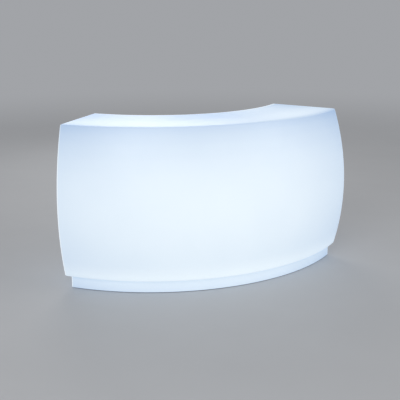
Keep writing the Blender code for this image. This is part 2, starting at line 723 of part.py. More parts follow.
def make_light(name, angle, finishes):
    """One light column: a base on the plate, an extrusion with its LED strip, and an opal tube over them."""
    base_top = ON_PLATE + LIGHT_BASE_THICKNESS
    boss_top = ON_PLATE + LIGHT_BOSS_HEIGHT
    at = plan(LIGHT_RADIUS, angle)
    base = profile_mesh([
        (0, boss_top), (LIGHT_BOSS_RADIUS, boss_top), (LIGHT_BOSS_RADIUS, base_top),
        (LIGHT_BASE_RADIUS, base_top), (LIGHT_BASE_RADIUS, ON_PLATE), (0, ON_PLATE),
    ])
    spin(part(f"light_base_{name}", base, finishes["plastic"], at))
    profile_low = boss_top + TOUCH
    make_light_profile(name, angle, profile_low, finishes["aluminium"], finishes["board"])
    tube_low = base_top + TOUCH
    shoulder = profile_low + PROFILE_LENGTH + TUBE_HEADROOM
    arcs = [math.pi / 2 * step / TUBE_DOME_STEPS for step in range(TUBE_DOME_STEPS + 1)]
    outer = [(TUBE_RADIUS * math.sin(arc), shoulder + TUBE_RADIUS * math.cos(arc)) for arc in arcs]
    bore = TUBE_RADIUS - TUBE_WALL
    inner = [(bore * math.sin(arc), shoulder + bore * math.cos(arc)) for arc in reversed(arcs)]
    tube = profile_mesh([*outer, (TUBE_RADIUS, tube_low), (bore, tube_low), *inner])
    spin(part(f"diffuser_tube_{name}", tube, finishes["opal"], at))


def make_driver(plastic):
    """The driver box under the deck, open above, and its lid."""
    middle = ON_PLATE + DRIVER_HEIGHT / 2
    at = plan(DRIVER_RADIUS, 0)
    case = part("driver_box", box(DRIVER_LENGTH, DRIVER_DEPTH, DRIVER_HEIGHT, (0, 0, middle)), plastic, at)
    hollow = box(
        DRIVER_LENGTH - 2 * DRIVER_WALL, DRIVER_DEPTH - 2 * DRIVER_WALL, DRIVER_HEIGHT,
        (0, 0, middle + DRIVER_WALL),
    )
    cut(case, placed(hollow, at))
    lid_middle = ON_PLATE + DRIVER_HEIGHT + TOUCH + LID_THICKNESS / 2
    part("driver_lid", box(DRIVER_LENGTH, DRIVER_DEPTH, LID_THICKNESS, (0, 0, lid_middle)), plastic, at)


def cap_pivot():
    """The middle of the inlet cap's hinge."""
    at = plan(PLINTH_BACK_RADIUS - SEAT, INLET_ANGLE, CONTROL_HEIGHT)
    return at + Matrix.Rotation(INLET_ANGLE, 3, "Z") @ Vector((0, CAP_BARREL_Y, CAP_BARREL_Z))


def cap_rod(radius, low, high):
    """A rod on the inlet cap's hinge axis, from low to high along it."""
    return placed(rods(radius, low, high, [(0, 0, 0)], "X", CAP_SIDES), cap_pivot(), INLET_ANGLE)


def make_inlet(plastic):
    """The mains inlet in the plinth's back wall: a socket with three pins, and knuckles for its cap."""
    at = plan(PLINTH_BACK_RADIUS - SEAT, INLET_ANGLE, CONTROL_HEIGHT)
    middle = CONTROL_FLANGE / 2
    flange = box(INLET_WIDTH, CONTROL_FLANGE, INLET_TALL, (0, middle, 0))
    inlet = part("power_inlet", flange, plastic, at, INLET_ANGLE)
    body = box(INLET_BODY_WIDTH, INLET_DEPTH, INLET_BODY_TALL, (0, middle - INLET_DEPTH / 2, 0))
    join(inlet, placed(body, at, INLET_ANGLE))
    recess = INLET_DEPTH - INLET_WALL
    hollow = box(
        INLET_BODY_WIDTH - 2 * INLET_WALL, recess + CUT_MARGIN, INLET_BODY_TALL - 2 * INLET_WALL,
        (0, middle + (CUT_MARGIN - recess) / 2, 0),
    )
    relief_half = CAP_INNER_HALF + RUNNING / 2
    relief = cap_rod(CAP_BARREL_RADIUS + RUNNING, -relief_half, relief_half)
    cut(inlet, placed(hollow, at, INLET_ANGLE), relief)
    rooted = PIN_LENGTH + INLET_WALL / 2
    pin_middle = middle - recess + PIN_LENGTH - rooted / 2
    contacts = [
        placed(box(PIN_WIDTH, rooted, PIN_HEIGHT, (x, pin_middle, 0)), at, INLET_ANGLE)
        for x in (-PIN_PITCH, 0.0, PIN_PITCH)
    ]
    join(
        inlet,
        *contacts,
        cap_rod(CAP_BARREL_RADIUS, -CAP_HALF, CAP_KNUCKLE - CAP_HALF),
        cap_rod(CAP_BARREL_RADIUS, CAP_HALF - CAP_KNUCKLE, CAP_HALF),
    )
    cut(inlet, cap_rod(CAP_BORE, -CAP_HALF - CUT_MARGIN, CAP_HALF + CUT_MARGIN))


def make_inlet_cap(plastic, steel):
    """The cap that hangs over the inlet, and the pin it hangs on."""
    pivot = cap_pivot()
    axis = joint_axis("inlet_cap_axis", pivot, INLET_ANGLE)
    clear = CAP_BARREL_RADIUS + RUNNING
    lid_tall = INLET_TALL - clear
    lid_y = CONTROL_FLANGE + SEAT + CAP_THICKNESS / 2 - CAP_BARREL_Y
    lid = box(INLET_WIDTH, CAP_THICKNESS, lid_tall, (0, lid_y, -clear - lid_tall / 2))
    cap = part("inlet_cap", lid, plastic, pivot, INLET_ANGLE, axis=axis)
    tab_tall = clear + CAP_THICKNESS
    tab = box(2 * (CAP_INNER_HALF - TOUCH), CAP_THICKNESS - TOUCH, tab_tall, (0, lid_y, -tab_tall / 2))
    barrel = cap_rod(CAP_BARREL_RADIUS, -CAP_INNER_HALF, CAP_INNER_HALF)
    join(cap, placed(tab, pivot, INLET_ANGLE), barrel)
    cut(cap, cap_rod(CAP_BORE, -CAP_HALF - CUT_MARGIN, CAP_HALF + CUT_MARGIN))
    part("inlet_cap_pin", cap_rod(CAP_PIN_RADIUS, -CAP_HALF, CAP_HALF), steel)


def make_switch(plastic, dark):
    """The rocker switch beside the inlet."""
    angle = SWITCH_ANGLE
    at = plan(PLINTH_BACK_RADIUS - SEAT, angle, CONTROL_HEIGHT)
    middle = CONTROL_FLANGE / 2
    flange = box(SWITCH_WIDTH, CONTROL_FLANGE, SWITCH_TALL, (0, middle, 0))
    frame = part("switch_frame", flange, plastic, at, angle)
    body = box(SWITCH_BODY_WIDTH, SWITCH_DEPTH, SWITCH_BODY_TALL, (0, middle - SWITCH_DEPTH / 2, 0))
    join(frame, placed(body, at, angle))
    well = ROCKER_DEPTH + WELL_CLEARANCE
    hollow = box(
        ROCKER_WIDTH + 2 * RUNNING, well + CUT_MARGIN, ROCKER_TALL + 2 * RUNNING,
        (0, CONTROL_FLANGE + CUT_MARGIN / 2 - well / 2, 0),
    )
    cut(frame, placed(hollow, at, angle))
    half = ROCKER_TALL / 2 - RUNNING
    rise = half * math.tan(ROCKER_TILT)
    pivot = at + Matrix.Rotation(angle, 4, "Z") @ Vector((0, CONTROL_FLANGE, 0))
    wedge = [(-half, ROCKER_PROUD + rise), (0, ROCKER_PROUD), (half, ROCKER_PROUD + rise),
             (half - rise, -ROCKER_DEPTH / 2), (0, -ROCKER_DEPTH), (rise - half, -ROCKER_DEPTH / 2)]
    mesh = flat_plate(wedge, ROCKER_WIDTH)
    upright = Matrix(((0, 0, 1, 0), (0, 1, 0, 0), (-1, 0, 0, 0), (0, 0, 0, 1)))
    mesh.transform(Matrix.Rotation(ROCKER_TILT, 4, "X") @ upright)
    axis = joint_axis("switch_rocker_axis", pivot, angle)
    part("switch_rocker", mesh, dark, pivot, angle, axis=axis)


def make_lead(name, points, finish):
    """A lead along a smooth curve through its points, which sinks no lower than the lowest of them."""
    padded = [2 * points[0] - points[1], *points, 2 * points[-1] - points[-2]]
    smooth = []
    for before, start, end, after in zip(padded, padded[1:], padded[2:], padded[3:]):
        for step in range(LEAD_STEPS):
            share = step / LEAD_STEPS
            smooth.append(0.5 * (
                2 * start + (end - before) * share + (2 * before - 5 * start + 4 * end - after) * share**2
                + (3 * start - before - 3 * end + after) * share**3
            ))
    smooth.append(points[-1])
    lowest = min(point.z for point in points)
    for point in smooth:
        point.z = max(point.z, lowest)
    curve = bpy.data.curves.new(name, "CURVE")
    curve.dimensions = "3D"
    curve.bevel_depth = LEAD_RADIUS
    curve.bevel_resolution = 1
    curve.use_fill_caps = True
    spline = curve.splines.new("POLY")
    spline.points.add(len(smooth) - 1)
    for point, place in zip(spline.points, smooth):
        point.co = (*place, 1)
    curve.materials.append(finish)
    PARTS.objects.link(bpy.data.objects.new(name, curve))


def make_mains_leads(finish):
    """The leads from the inlet to the switch, and from the switch down to the driver."""
    wall = PLINTH_BACK_RADIUS - SEAT - CONTROL_FLANGE / 2
    inlet_back = wall + INLET_DEPTH + LEAD_GAP
    switch_back = wall + SWITCH_DEPTH + LEAD_GAP
    upper = CONTROL_HEIGHT + 2 * LEAD_RADIUS
    lower = CONTROL_HEIGHT - 2 * LEAD_RADIUS
    lying = ON_PLATE + LEAD_RADIUS
    make_lead("inlet_lead", [
        plan(inlet_back, INLET_ANGLE, upper),
        plan(inlet_back + LEAD_STRAIGHT, INLET_ANGLE, upper),
        plan(inlet_back + 1.5 * LEAD_STRAIGHT, (INLET_ANGLE + SWITCH_ANGLE) / 2, upper),
        plan(switch_back + LEAD_STRAIGHT, SWITCH_ANGLE, upper),
        plan(switch_back, SWITCH_ANGLE, upper),
    ], finish)
    driver_end = plan(DRIVER_RADIUS, 0, lying) + Vector((DRIVER_LENGTH / 2 + LEAD_GAP, 0, 0))
    make_lead("mains_lead", [
        plan(switch_back, SWITCH_ANGLE, lower),
        plan(switch_back + LEAD_STRAIGHT, SWITCH_ANGLE, lower),
        *(
            plan(switch_back + straights * LEAD_STRAIGHT, SWITCH_ANGLE - turn, lying)
            for straights, turn in MAINS_LEAD_BENDS
        ),
        driver_end + Vector((2 * LEAD_STRAIGHT, 0, 0)),
        driver_end,
    ], finish)


def make_light_leads(finish):
    """The leads from the driver to the three light columns, which lie on the base plate."""
    lying = ON_PLATE + LEAD_RADIUS
    front = plan(DRIVER_RADIUS, 0).y - DRIVER_DEPTH / 2 - LEAD_GAP
    end = LIGHT_RADIUS - LIGHT_BASE_RADIUS - LEAD_GAP
    straight = [Vector((0, front, lying)), plan(end - LEAD_STRAIGHT, 0, lying), plan(end, 0, lying)]
    make_lead("light_lead_middle", straight, finish)
    for name, side in (("light_lead_left", -1), ("light_lead_right", 1)):
        leaving = Vector((side * LIGHT_LEAD_SPACING, front, lying))
        start = [leaving - Vector((0, step * LEAD_STRAIGHT, 0)) for step in range(3)]
        sweep = [
            plan(end - straights * LEAD_STRAIGHT, side * LIGHT_SPACING * share, lying)
            for straights, share in LIGHT_LEAD_BENDS
        ]
        make_lead(name, start + sweep, finish)


def make_foot(number, radius, angle, rubber, steel):
    """One levelling foot: a pad, a stud that turns in it, and the nut on the base plate that it climbs."""
    at = plan(radius, angle)
    axis = joint_axis(f"foot_{number}_axis", at)
    pad = profile_mesh([
        (0, PAD_FLOOR), (PAD_SOCKET_RADIUS, PAD_FLOOR), (PAD_SOCKET_RADIUS, PAD_THICKNESS),
        (PAD_RADIUS - PAD_CHAMFER, PAD_THICKNESS), (PAD_RADIUS, PAD_THICKNESS - PAD_CHAMFER),
        (PAD_RADIUS, 0), (0, 0),
    ])
    spin(part(f"foot_{number}_pad", pad, rubber, at, axis=axis))
    ball_low = PAD_FLOOR + TOUCH
    ball_high = PAD_THICKNESS - TOUCH
    stud = profile_mesh([
        (0, STUD_LENGTH), (STUD_RADIUS, STUD_LENGTH), (STUD_RADIUS, ball_high),
        (STUD_BALL_RADIUS, ball_high), (STUD_BALL_RADIUS, ball_low), (0, ball_low),
    ])
    spin(part(f"foot_{number}_stud", stud, steel, at, axis=axis), steps=STUD_STEPS)
    corner = NUT_ACROSS / 2 / math.cos(math.pi / 6)
    high = ON_PLATE + NUT_HEIGHT
    nut = part(f"foot_{number}_nut", rods(corner, ON_PLATE, high, [(0, 0, 0)], sides=6), steel, at)
    cut(nut, rods(STUD_RADIUS + RUNNING, ON_PLATE - CUT_MARGIN, high + CUT_MARGIN, [at]))


def clear_scene():
    """Empties the scene of whatever it starts with."""
    for leftover in list(bpy.data.objects):
        bpy.data.objects.remove(leftover, do_unlink=True)


def collection(name):
    """A new collection in the scene."""
    made = bpy.data.collections.new(name)
    bpy.context.scene.collection.children.link(made)
    return made


def build():
    """Makes every piece of the counter."""
    glowing = material("glowing_polyethylene", (0.93, 0.98, 1.0), 0.45, glow=0.9)
    liner = material("liner_polyethylene", (0.90, 0.96, 1.0), 0.5, glow=0.4)
    laminate = material("white_laminate", (0.86, 0.88, 0.90), 0.3)
    plastic = material("white_plastic", (0.85, 0.86, 0.87), 0.45)
    dark = material("black_plastic", (0.03, 0.03, 0.035), 0.5)
    steel = material("zinc_plated_steel", (0.62, 0.64, 0.66), 0.35, metallic=1.0)
    aluminium = material("anodised_aluminium", (0.80, 0.81, 0.83), 0.3, metallic=1.0)
    board = material("led_board", (0.95, 0.97, 1.0), 0.5, glow=4.0)
    opal = material("opal_acrylic", (0.94, 0.97, 1.0), 0.25, glow=2.0)
    rubber = material("black_rubber", (0.02, 0.02, 0.02), 0.8)
    make_shell(glowing)
    make_liner(liner)
    make_shelves(laminate)
    make_base(steel)
    for side, sign in (("left", -1), ("right", 1)):
        make_bracket(f"shelf_bracket_{side}", sign * SHELF_JOINT_ANGLE, steel)
        make_channel(f"deck_channel_{side}", sign * CHANNEL_ANGLE, steel)
    hatch_axis = joint_axis("hatch_axis", plan(DOOR_FACE - BARREL_RADIUS, BARREL_ANGLE, HATCH_MIDDLE))
    make_door(liner, hatch_axis)
    make_leaf(steel)
    make_pull(dark, hatch_axis)
    make_catch(steel, dark, hatch_axis)
    light_finishes = {"plastic": plastic, "aluminium": aluminium, "board": board, "opal": opal}
    for name, angle in (("left", -LIGHT_SPACING), ("middle", 0.0), ("right", LIGHT_SPACING)):
        make_light(name, angle, light_finishes)
    make_driver(plastic)
    make_inlet(dark)
    make_inlet_cap(dark, steel)
    make_switch(dark, dark)
    make_mains_leads(dark)
    make_light_leads(dark)
    for number, (radius, angle) in enumerate(foot_places(), 1):
        make_foot(number, radius, angle, rubber, steel)


clear_scene()
PARTS = collection("illuminated_bar_counter")
CUTTERS = collection("cutters")
build()
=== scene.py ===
"""The looks of the illuminated bar counter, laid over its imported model.

Everything is in metres with +Z up. A place in plan is a radius and an angle about the centre of the
counter's arcs, the angle growing towards +X; guests stand on the -Y side and the bartender on the +Y side.
"""

import json
import logging
import math
from dataclasses import dataclass, replace
from enum import Enum
from functools import cache, reduce
from typing import Callable, Iterable, Mapping, Sequence, Union

import bmesh
import bpy
from mathutils import Matrix, Vector

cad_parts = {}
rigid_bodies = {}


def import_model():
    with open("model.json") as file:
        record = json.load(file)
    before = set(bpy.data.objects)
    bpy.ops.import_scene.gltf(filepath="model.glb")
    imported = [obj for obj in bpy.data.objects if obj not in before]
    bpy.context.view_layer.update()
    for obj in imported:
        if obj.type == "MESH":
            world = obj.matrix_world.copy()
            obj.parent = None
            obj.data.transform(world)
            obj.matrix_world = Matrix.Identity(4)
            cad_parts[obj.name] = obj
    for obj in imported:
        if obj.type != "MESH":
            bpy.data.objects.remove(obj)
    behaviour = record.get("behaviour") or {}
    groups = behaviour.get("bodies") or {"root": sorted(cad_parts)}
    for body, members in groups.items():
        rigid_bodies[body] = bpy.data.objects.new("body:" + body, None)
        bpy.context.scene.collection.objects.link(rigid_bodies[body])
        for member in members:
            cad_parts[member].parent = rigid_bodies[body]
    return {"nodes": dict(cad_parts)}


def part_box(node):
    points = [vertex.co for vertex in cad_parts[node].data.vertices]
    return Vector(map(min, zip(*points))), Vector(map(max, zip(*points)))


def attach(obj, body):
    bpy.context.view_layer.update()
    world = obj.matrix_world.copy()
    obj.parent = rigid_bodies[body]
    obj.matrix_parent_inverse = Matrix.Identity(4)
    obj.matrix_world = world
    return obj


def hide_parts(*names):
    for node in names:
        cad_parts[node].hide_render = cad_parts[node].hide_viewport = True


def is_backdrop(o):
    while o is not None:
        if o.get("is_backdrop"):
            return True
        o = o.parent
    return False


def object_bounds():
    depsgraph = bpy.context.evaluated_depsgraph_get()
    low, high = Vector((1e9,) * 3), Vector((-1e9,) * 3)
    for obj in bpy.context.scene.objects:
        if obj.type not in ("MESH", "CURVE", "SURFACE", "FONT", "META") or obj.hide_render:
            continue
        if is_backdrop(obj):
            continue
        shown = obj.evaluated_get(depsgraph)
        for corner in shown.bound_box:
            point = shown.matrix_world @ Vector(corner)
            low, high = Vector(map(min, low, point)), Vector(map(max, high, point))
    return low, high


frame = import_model()

LOG = logging.getLogger("illuminated_bar_counter")
WIDEST = 1.535
FEET = 6
WELD = 0.00001
SMOOTH_TURN = math.radians(32.0)
RIM_TURN = math.radians(60.0)
FLAT_TURN = math.radians(1.0)
SOFT_STEPS = 3
ROUND_PROFILE = 0.5
EDGE_TURN = math.radians(35.0)
EDGE_STEPS = 2
EDGE_PROFILE = 0.6
ORDER = Vector((1.0, 0.0317, 0.00173))
NOISE_ROUGHNESS = 0.55
NOISE_LOW = 0.25
NOISE_HIGH = 0.75
GLOSS_SCALE = 2.3
GRAIN_DETAIL = 2.0
CLOUD_DETAIL = 1.0
GRAIN_STRENGTH = 0.6
OUTWARDS = Matrix.Rotation(-math.pi / 2, 4, "X")
DOWNWARDS = Matrix.Rotation(math.pi, 4, "X")

Colour = tuple[float, float, float]
Value = Union[float, tuple, str, bpy.types.NodeSocket]
Outline = list[Vector]
OutlineAt = Callable[[float], Outline]
Edge = Callable[[float, float], float]
Profile = Sequence[tuple[float, float]]
Ripple = Callable[[float, float], float]
Row = tuple[float, float, Outline]


class Graph:
    """Adds nodes to a tree and wires them."""

    def __init__(self, tree: bpy.types.NodeTree) -> None:
        """Starts on a tree, whose own inputs may be given later."""
        self.tree = tree
        self.given = None

    def node(self, kind: str, given: Mapping | None = None, **settings: object) -> bpy.types.Node:
        """Adds a node.

        Args:
            kind: The node's type.
            given: A value, or the socket to wire, for some inputs by their name or number.
            settings: The node's own properties.

        Returns:
            The node.
        """
        made = self.tree.nodes.new(kind)
        for name, value in settings.items():
            setattr(made, name, value)
        for key, value in (given or {}).items():
            if isinstance(value, bpy.types.NodeSocket):
                self.tree.links.new(value, made.inputs[key])
            else:
                made.inputs[key].default_value = value
        return made

    def math(self, operation: str, *values: Value, clamp: bool = False) -> bpy.types.NodeSocket:
        """Adds a Math node on the values, and returns its result."""
        given = dict(enumerate(values))
        return self.node("ShaderNodeMath", given, operation=operation, use_clamp=clamp).outputs[0]

    def plus(self, first: Value, *others: Value) -> bpy.types.NodeSocket:
        """The sum of some values."""
        return reduce(lambda total, value: self.math("ADD", total, value), others, first)

    def minus(self, first: Value, second: Value) -> bpy.types.NodeSocket:
        """The difference of two values."""
        return self.math("SUBTRACT", first, second)

    def times(self, first: Value, *others: Value) -> bpy.types.NodeSocket:
        """The product of some values."""
        return reduce(lambda total, value: self.math("MULTIPLY", total, value), others, first)

    def split(self, vector: Value) -> tuple[bpy.types.NodeSocket, ...]:
        """The three parts of a vector."""
        return tuple(self.node("ShaderNodeSeparateXYZ", {0: vector}).outputs)

    def blend(self, factor: Value, low: Value, high: Value) -> bpy.types.NodeSocket:
        """The colour between two colours."""
        return self.node("ShaderNodeMix", {0: factor, 6: low, 7: high}, data_type="RGBA").outputs[2]

    def curve(self, factor: Value, stops: Sequence[tuple[float, float]]) -> bpy.types.NodeSocket:
        """A level that runs smoothly through stops.

        Args:
            factor: Where along the curve, from 0 to 1.
            stops: The places along the curve, each with its level.

        Returns:
            The level.
        """
        made = self.node("ShaderNodeValToRGB", {0: factor})
        ramp = made.color_ramp
        ramp.interpolation = "CARDINAL"
        while len(ramp.elements) < len(stops):
            ramp.elements.new(0.5)
        for element, (place, level) in zip(ramp.elements, stops):
            element.position = place
            element.color = (level, level, level, 1)
        return made.outputs[0]

    def noise(self, vector: Value, scale: float, detail: float = 3.0) -> bpy.types.NodeSocket:
        """A noise level between 0 and 1."""
        given = {"Vector": vector, "Scale": scale, "Detail": detail, "Roughness": NOISE_ROUGHNESS}
        return self.node("ShaderNodeTexNoise", given).outputs[0]

    def spread(self, value: Value, low: float, high: float) -> bpy.types.NodeSocket:
        """A level from 0 to 1 laid out between two levels, held to that range."""
        noise = {"Value": value, "From Min": NOISE_LOW, "From Max": NOISE_HIGH}
        return self.node("ShaderNodeMapRange", {**noise, "To Min": low, "To Max": high}).outputs[0]


def looked_at(graph: Graph) -> bpy.types.NodeSocket:
    """Tells a ray that shows a surface, straight or in a reflection, from one that lights.

    Args:
        graph: The tree.

    Returns:
        1 for a ray that shows, and 0 for one that lights.
    """
    path = graph.node("ShaderNodeLightPath").outputs
    shown = graph.math("MAXIMUM", path["Is Camera Ray"], path["Is Glossy Ray"])
    return graph.math("MAXIMUM", shown, path["Is Transmission Ray"])


@dataclass(frozen=True)
class Finish:
    """A surface finish with a mottled colour, an uneven gloss and a fine grain.

    Attributes:
        name: The material's name.
        slot: The record's material slot that it belongs to; not used.
        colour: The colour.
        roughness: The middle of the gloss.
        metallic: 1 for a bare metal.
        mottle: The share by which the colour varies.
        mottle_scale: How many mottles a metre holds.
        uneven: How far the roughness varies.
        grain: The depth of the grain.
        grain_scale: How many grains a metre holds.
        stretch: How much closer together the grains lie along each axis.
        coat: The strength of a clear coat.
    """

    name: str
    slot: str
    colour: Colour
    roughness: float
    metallic: float = 0.0
    mottle: float = 0.05
    mottle_scale: float = 18.0
    uneven: float = 0.05
    grain: float = 0.00005
    grain_scale: float = 900.0
    stretch: tuple[float, float, float] = (1.0, 1.0, 1.0)
    coat: float = 0.0

    @cache
    def material(self) -> bpy.types.Material:
        """Makes the material the first time that it is asked for.

        Returns:
            The material.
        """
        made = bpy.data.materials.new(self.name)
        made.use_nodes = True
        made.diffuse_color = (*self.colour, 1)
        self.dress(Graph(made.node_tree), made.node_tree.nodes["Principled BSDF"])
        return made

    def dress(self, graph: Graph, shader: bpy.types.Node) -> None:
        """Wires the colour, the gloss and the grain.

        Args:
            graph: The material's tree.
            shader: Its Principled shader.
        """
        place = graph.node("ShaderNodeTexCoord").outputs["Object"]
        drawn = graph.node("ShaderNodeMapping", {"Vector": place, "Scale": self.stretch}).outputs[0]
        mottle = graph.noise(drawn, self.mottle_scale)
        dark = tuple(part * (1 - self.mottle) for part in self.colour)
        light = tuple(min(part * (1 + self.mottle), 1.0) for part in self.colour)
        gloss = graph.noise(drawn, self.mottle_scale * GLOSS_SCALE)
        fine = graph.noise(drawn, self.grain_scale, GRAIN_DETAIL)
        grain = {"Height": fine, "Strength": GRAIN_STRENGTH, "Distance": self.grain}
        wired = {
            "Base Color": graph.blend(graph.spread(mottle, 0.0, 1.0), (*dark, 1), (*light, 1)),
            "Roughness": graph.spread(gloss, self.roughness - self.uneven, self.roughness + self.uneven),
            "Normal": graph.node("ShaderNodeBump", grain).outputs[0],
        }
        for name, socket in wired.items():
            graph.tree.links.new(socket, shader.inputs[name])
        shader.inputs["Metallic"].default_value = self.metallic
        shader.inputs["Coat Weight"].default_value = self.coat


@dataclass(frozen=True)
class EvenGlow(Finish):
    """A finish that glows alike all over, a little stronger here and there.

    Attributes:
        glow: The colour of the light.
        strength: Its strength.
        weakest: The share of it that is left where it is weakest.
        cloud_scale: How many weaker places a metre holds.
    """

    glow: Colour = (0.8, 0.95, 1.0)
    strength: float = 1.0
    weakest: float = 0.88
    cloud_scale: float = 4.0

    def dress(self, graph: Graph, shader: bpy.types.Node) -> None:
        """Wires the glow to the rest.

        Args:
            graph: The material's tree.
            shader: Its Principled shader.
        """
        super().dress(graph, shader)
        place = graph.node("ShaderNodeTexCoord").outputs["Object"]
        dim = tuple(part * self.weakest for part in self.glow)
        level = graph.spread(graph.noise(place, self.cloud_scale, CLOUD_DETAIL), 0.0, 1.0)
        graph.tree.links.new(graph.blend(level, (*dim, 1), (*self.glow, 1)), shader.inputs["Emission Color"])
        shader.inputs["Emission Strength"].default_value = self.strength


@dataclass(frozen=True)
class FloorFinish(Finish):
    """A plain floor that fades into the background far from the counter.

    Attributes:
        background: The background's colour.
        fade_from: How far from the middle the fading starts.
        fade_to: How far from the middle only the background is left.
    """

    background: Colour = (0.5, 0.5, 0.5)
    fade_from: float = 3.0
    fade_to: float = 11.0

    def dress(self, graph: Graph, shader: bpy.types.Node) -> None:
        """Wires the fading over the rest, for what looks at the floor and not for its light.

        Args:
            graph: The material's tree.
            shader: Its Principled shader.
        """
        super().dress(graph, shader)
        place = graph.node("ShaderNodeTexCoord").outputs["Object"]
        distance = graph.node("ShaderNodeVectorMath", {0: place}, operation="LENGTH").outputs["Value"]
        given = {"Value": distance, "From Min": self.fade_from, "From Max": self.fade_to}
        far = graph.node("ShaderNodeMapRange", given, interpolation_type="SMOOTHSTEP").outputs[0]
        flat = graph.node("ShaderNodeEmission", {"Color": (*self.background, 1), "Strength": 1.0})
        shown = graph.times(far, looked_at(graph))
        mixed = graph.node("ShaderNodeMixShader", {0: shown, 1: shader.outputs[0], 2: flat.outputs[0]})
        graph.tree.links.new(mixed.outputs[0], graph.tree.nodes["Material Output"].inputs["Surface"])


@dataclass(frozen=True)
class MouldingGlow(Finish):
    """Translucent moulding that is lit from inside, its glow painted: an emission laid out by where a point
    is and how it faces stands in for the light of the columns behind it, with a painted highlight along the
    rounded edges.

    Attributes:
        dim: The light's colour where the moulding is dimmest.
        bright: Its colour where it is brightest.
        centre_y: Y of the arcs' centre.
        height: The moulding's height.
        peak: The angle at which the front is brightest.
        fall: How fast the front dims to its sides, for each square radian.
        climb: The front's level at shares of its height.
        inner: The top's inner radius.
        outer: The top's outer radius.
        across: The top's level at shares of its width.
        swing: How much the top's level varies along it.
        waves: How many times the top's level varies in a full turn.
        lean: How much the top's level rises along it, for each radian.
        fade: The share of those waves that is gone at the top's front edge.
        corner: How fast the top's level falls towards its outer corners.
        rim: The strength of the painted highlight on the rounded edges round the ends and the back.
        upright: The upward part of a normal below which a point belongs to the front.
        level_at: The upward part of a normal above which it belongs to the top.
        clouds: How far the level wanders from place to place.
        cloud_scale: How many such places a metre holds.
        level: What the whole glow is lowered to.
    """

    dim: Colour = (0.10, 0.225, 0.43)
    bright: Colour = (0.55, 0.63, 0.69)
    centre_y: float = 1.096
    height: float = 1.100
    peak: float = math.radians(-4.0)
    fall: float = 0.56
    climb: tuple = (
        (0.0, 0.62), (0.045, 0.73), (0.078, 0.76), (0.088, 1.0), (0.13, 0.95), (0.19, 0.86), (0.36, 0.91),
        (0.55, 0.93), (0.73, 0.84), (0.82, 0.72), (0.90, 0.59), (0.955, 0.46), (0.99, 0.33), (1.0, 0.27),
    )
    inner: float = 0.940
    outer: float = 1.440
    across: tuple = (
        (0.0, 0.80), (0.04, 0.60), (0.08, 0.24), (0.12, 0.28), (0.32, 0.32), (0.52, 0.44), (0.74, 0.57),
        (0.92, 0.55), (1.0, 0.32),
    )
    swing: float = 0.19
    waves: float = 7.0
    fade: float = 0.6
    lean: float = 0.12
    corner: float = 0.36
    rim: float = 0.5
    upright: float = 0.3
    level_at: float = 0.9
    clouds: float = 0.02
    cloud_scale: float = 3.5
    level: float = 1.0

    def front(self, graph: Graph, angle: Value, height: Value) -> bpy.types.NodeSocket:
        """The level of an upright face: by its height, and dimmer towards the ends.

        Args:
            graph: The material's tree.
            angle: The point's angle.
            height: The point's height.

        Returns:
            The level.
        """
        off_peak = graph.minus(angle, self.peak)
        upwards = graph.curve(graph.math("DIVIDE", height, self.height), self.climb)
        return graph.minus(upwards, graph.times(off_peak, off_peak, self.fall))

    def top(self, graph: Graph, angle: Value, radius: Value) -> bpy.types.NodeSocket:
        """The level of the top: by where a point is across it, and in waves along it.

        Args:
            graph: The material's tree.
            angle: The point's angle.
            radius: The point's radius.

        Returns:
            The level.
        """
        share = graph.math("DIVIDE", graph.minus(radius, self.inner), self.outer - self.inner)
        wave = graph.math("COSINE", graph.times(angle, self.waves))
        swing = graph.minus(self.swing, graph.times(share, share, self.swing * self.fade))
        along = graph.minus(graph.times(angle, self.lean), graph.times(wave, swing))
        outward = graph.times(share, angle)
        corner = graph.times(outward, outward, self.corner)
        return graph.minus(graph.plus(graph.curve(share, self.across), along), corner)

    def edges(self, graph: Graph, angle: Value, facing: Sequence[Value]) -> bpy.types.NodeSocket:
        """The painted highlight on the rounded edges round the ends and the back, found by how a point
        faces.

        Args:
            graph: The material's tree.
            angle: The point's angle.
            facing: The three parts of its normal.

        Returns:
            What is added to the level.
        """
        def between(share: Value) -> bpy.types.NodeSocket:
            """1 where the share is a half, and 0 where it is 0 or 1."""
            return graph.times(share, 4.0, graph.minus(1.0, share))

        sine = graph.math("SINE", angle)
        cosine = graph.math("COSINE", angle)
        x, y, _ = facing
        endways = graph.math("ABSOLUTE", graph.plus(graph.times(x, cosine), graph.times(y, sine)))
        inwards = graph.math("MAXIMUM", graph.minus(graph.times(y, cosine), graph.times(x, sine)), 0.0)
        backwards = graph.times(between(inwards), graph.minus(1.0, endways))
        return graph.times(graph.plus(between(endways), backwards), self.rim)

    def dress(self, graph: Graph, shader: bpy.types.Node) -> None:
        """Wires the painted glow, worked out from where on the counter a point is, to the rest.

        Args:
            graph: The material's tree.
            shader: Its Principled shader.
        """
        super().dress(graph, shader)
        coordinates = graph.node("ShaderNodeTexCoord").outputs
        x, y, z = graph.split(coordinates["Object"])
        facing = graph.split(coordinates["Normal"])
        depth = graph.minus(self.centre_y, y)
        angle = graph.math("ARCTAN2", x, depth)
        radius = graph.math("SQRT", graph.plus(graph.times(x, x), graph.times(depth, depth)))
        given = {"Value": facing[2], "From Min": self.upright, "From Max": self.level_at}
        upward = graph.node("ShaderNodeMapRange", given, interpolation_type="SMOOTHSTEP").outputs[0]
        front = graph.times(self.front(graph, angle, z), graph.minus(1.0, upward))
        top = graph.times(self.top(graph, angle, radius), upward)
        noise = graph.noise(coordinates["Object"], self.cloud_scale, CLOUD_DETAIL)
        clouds = graph.spread(noise, -self.clouds, self.clouds)
        level = graph.plus(front, top, self.edges(graph, angle, facing))
        held = graph.math("ADD", level, clouds, clamp=True)
        light = graph.blend(held, (*self.dim, 1), (*self.bright, 1))
        graph.tree.links.new(light, shader.inputs["Emission Color"])
        shader.inputs["Emission Strength"].default_value = self.level


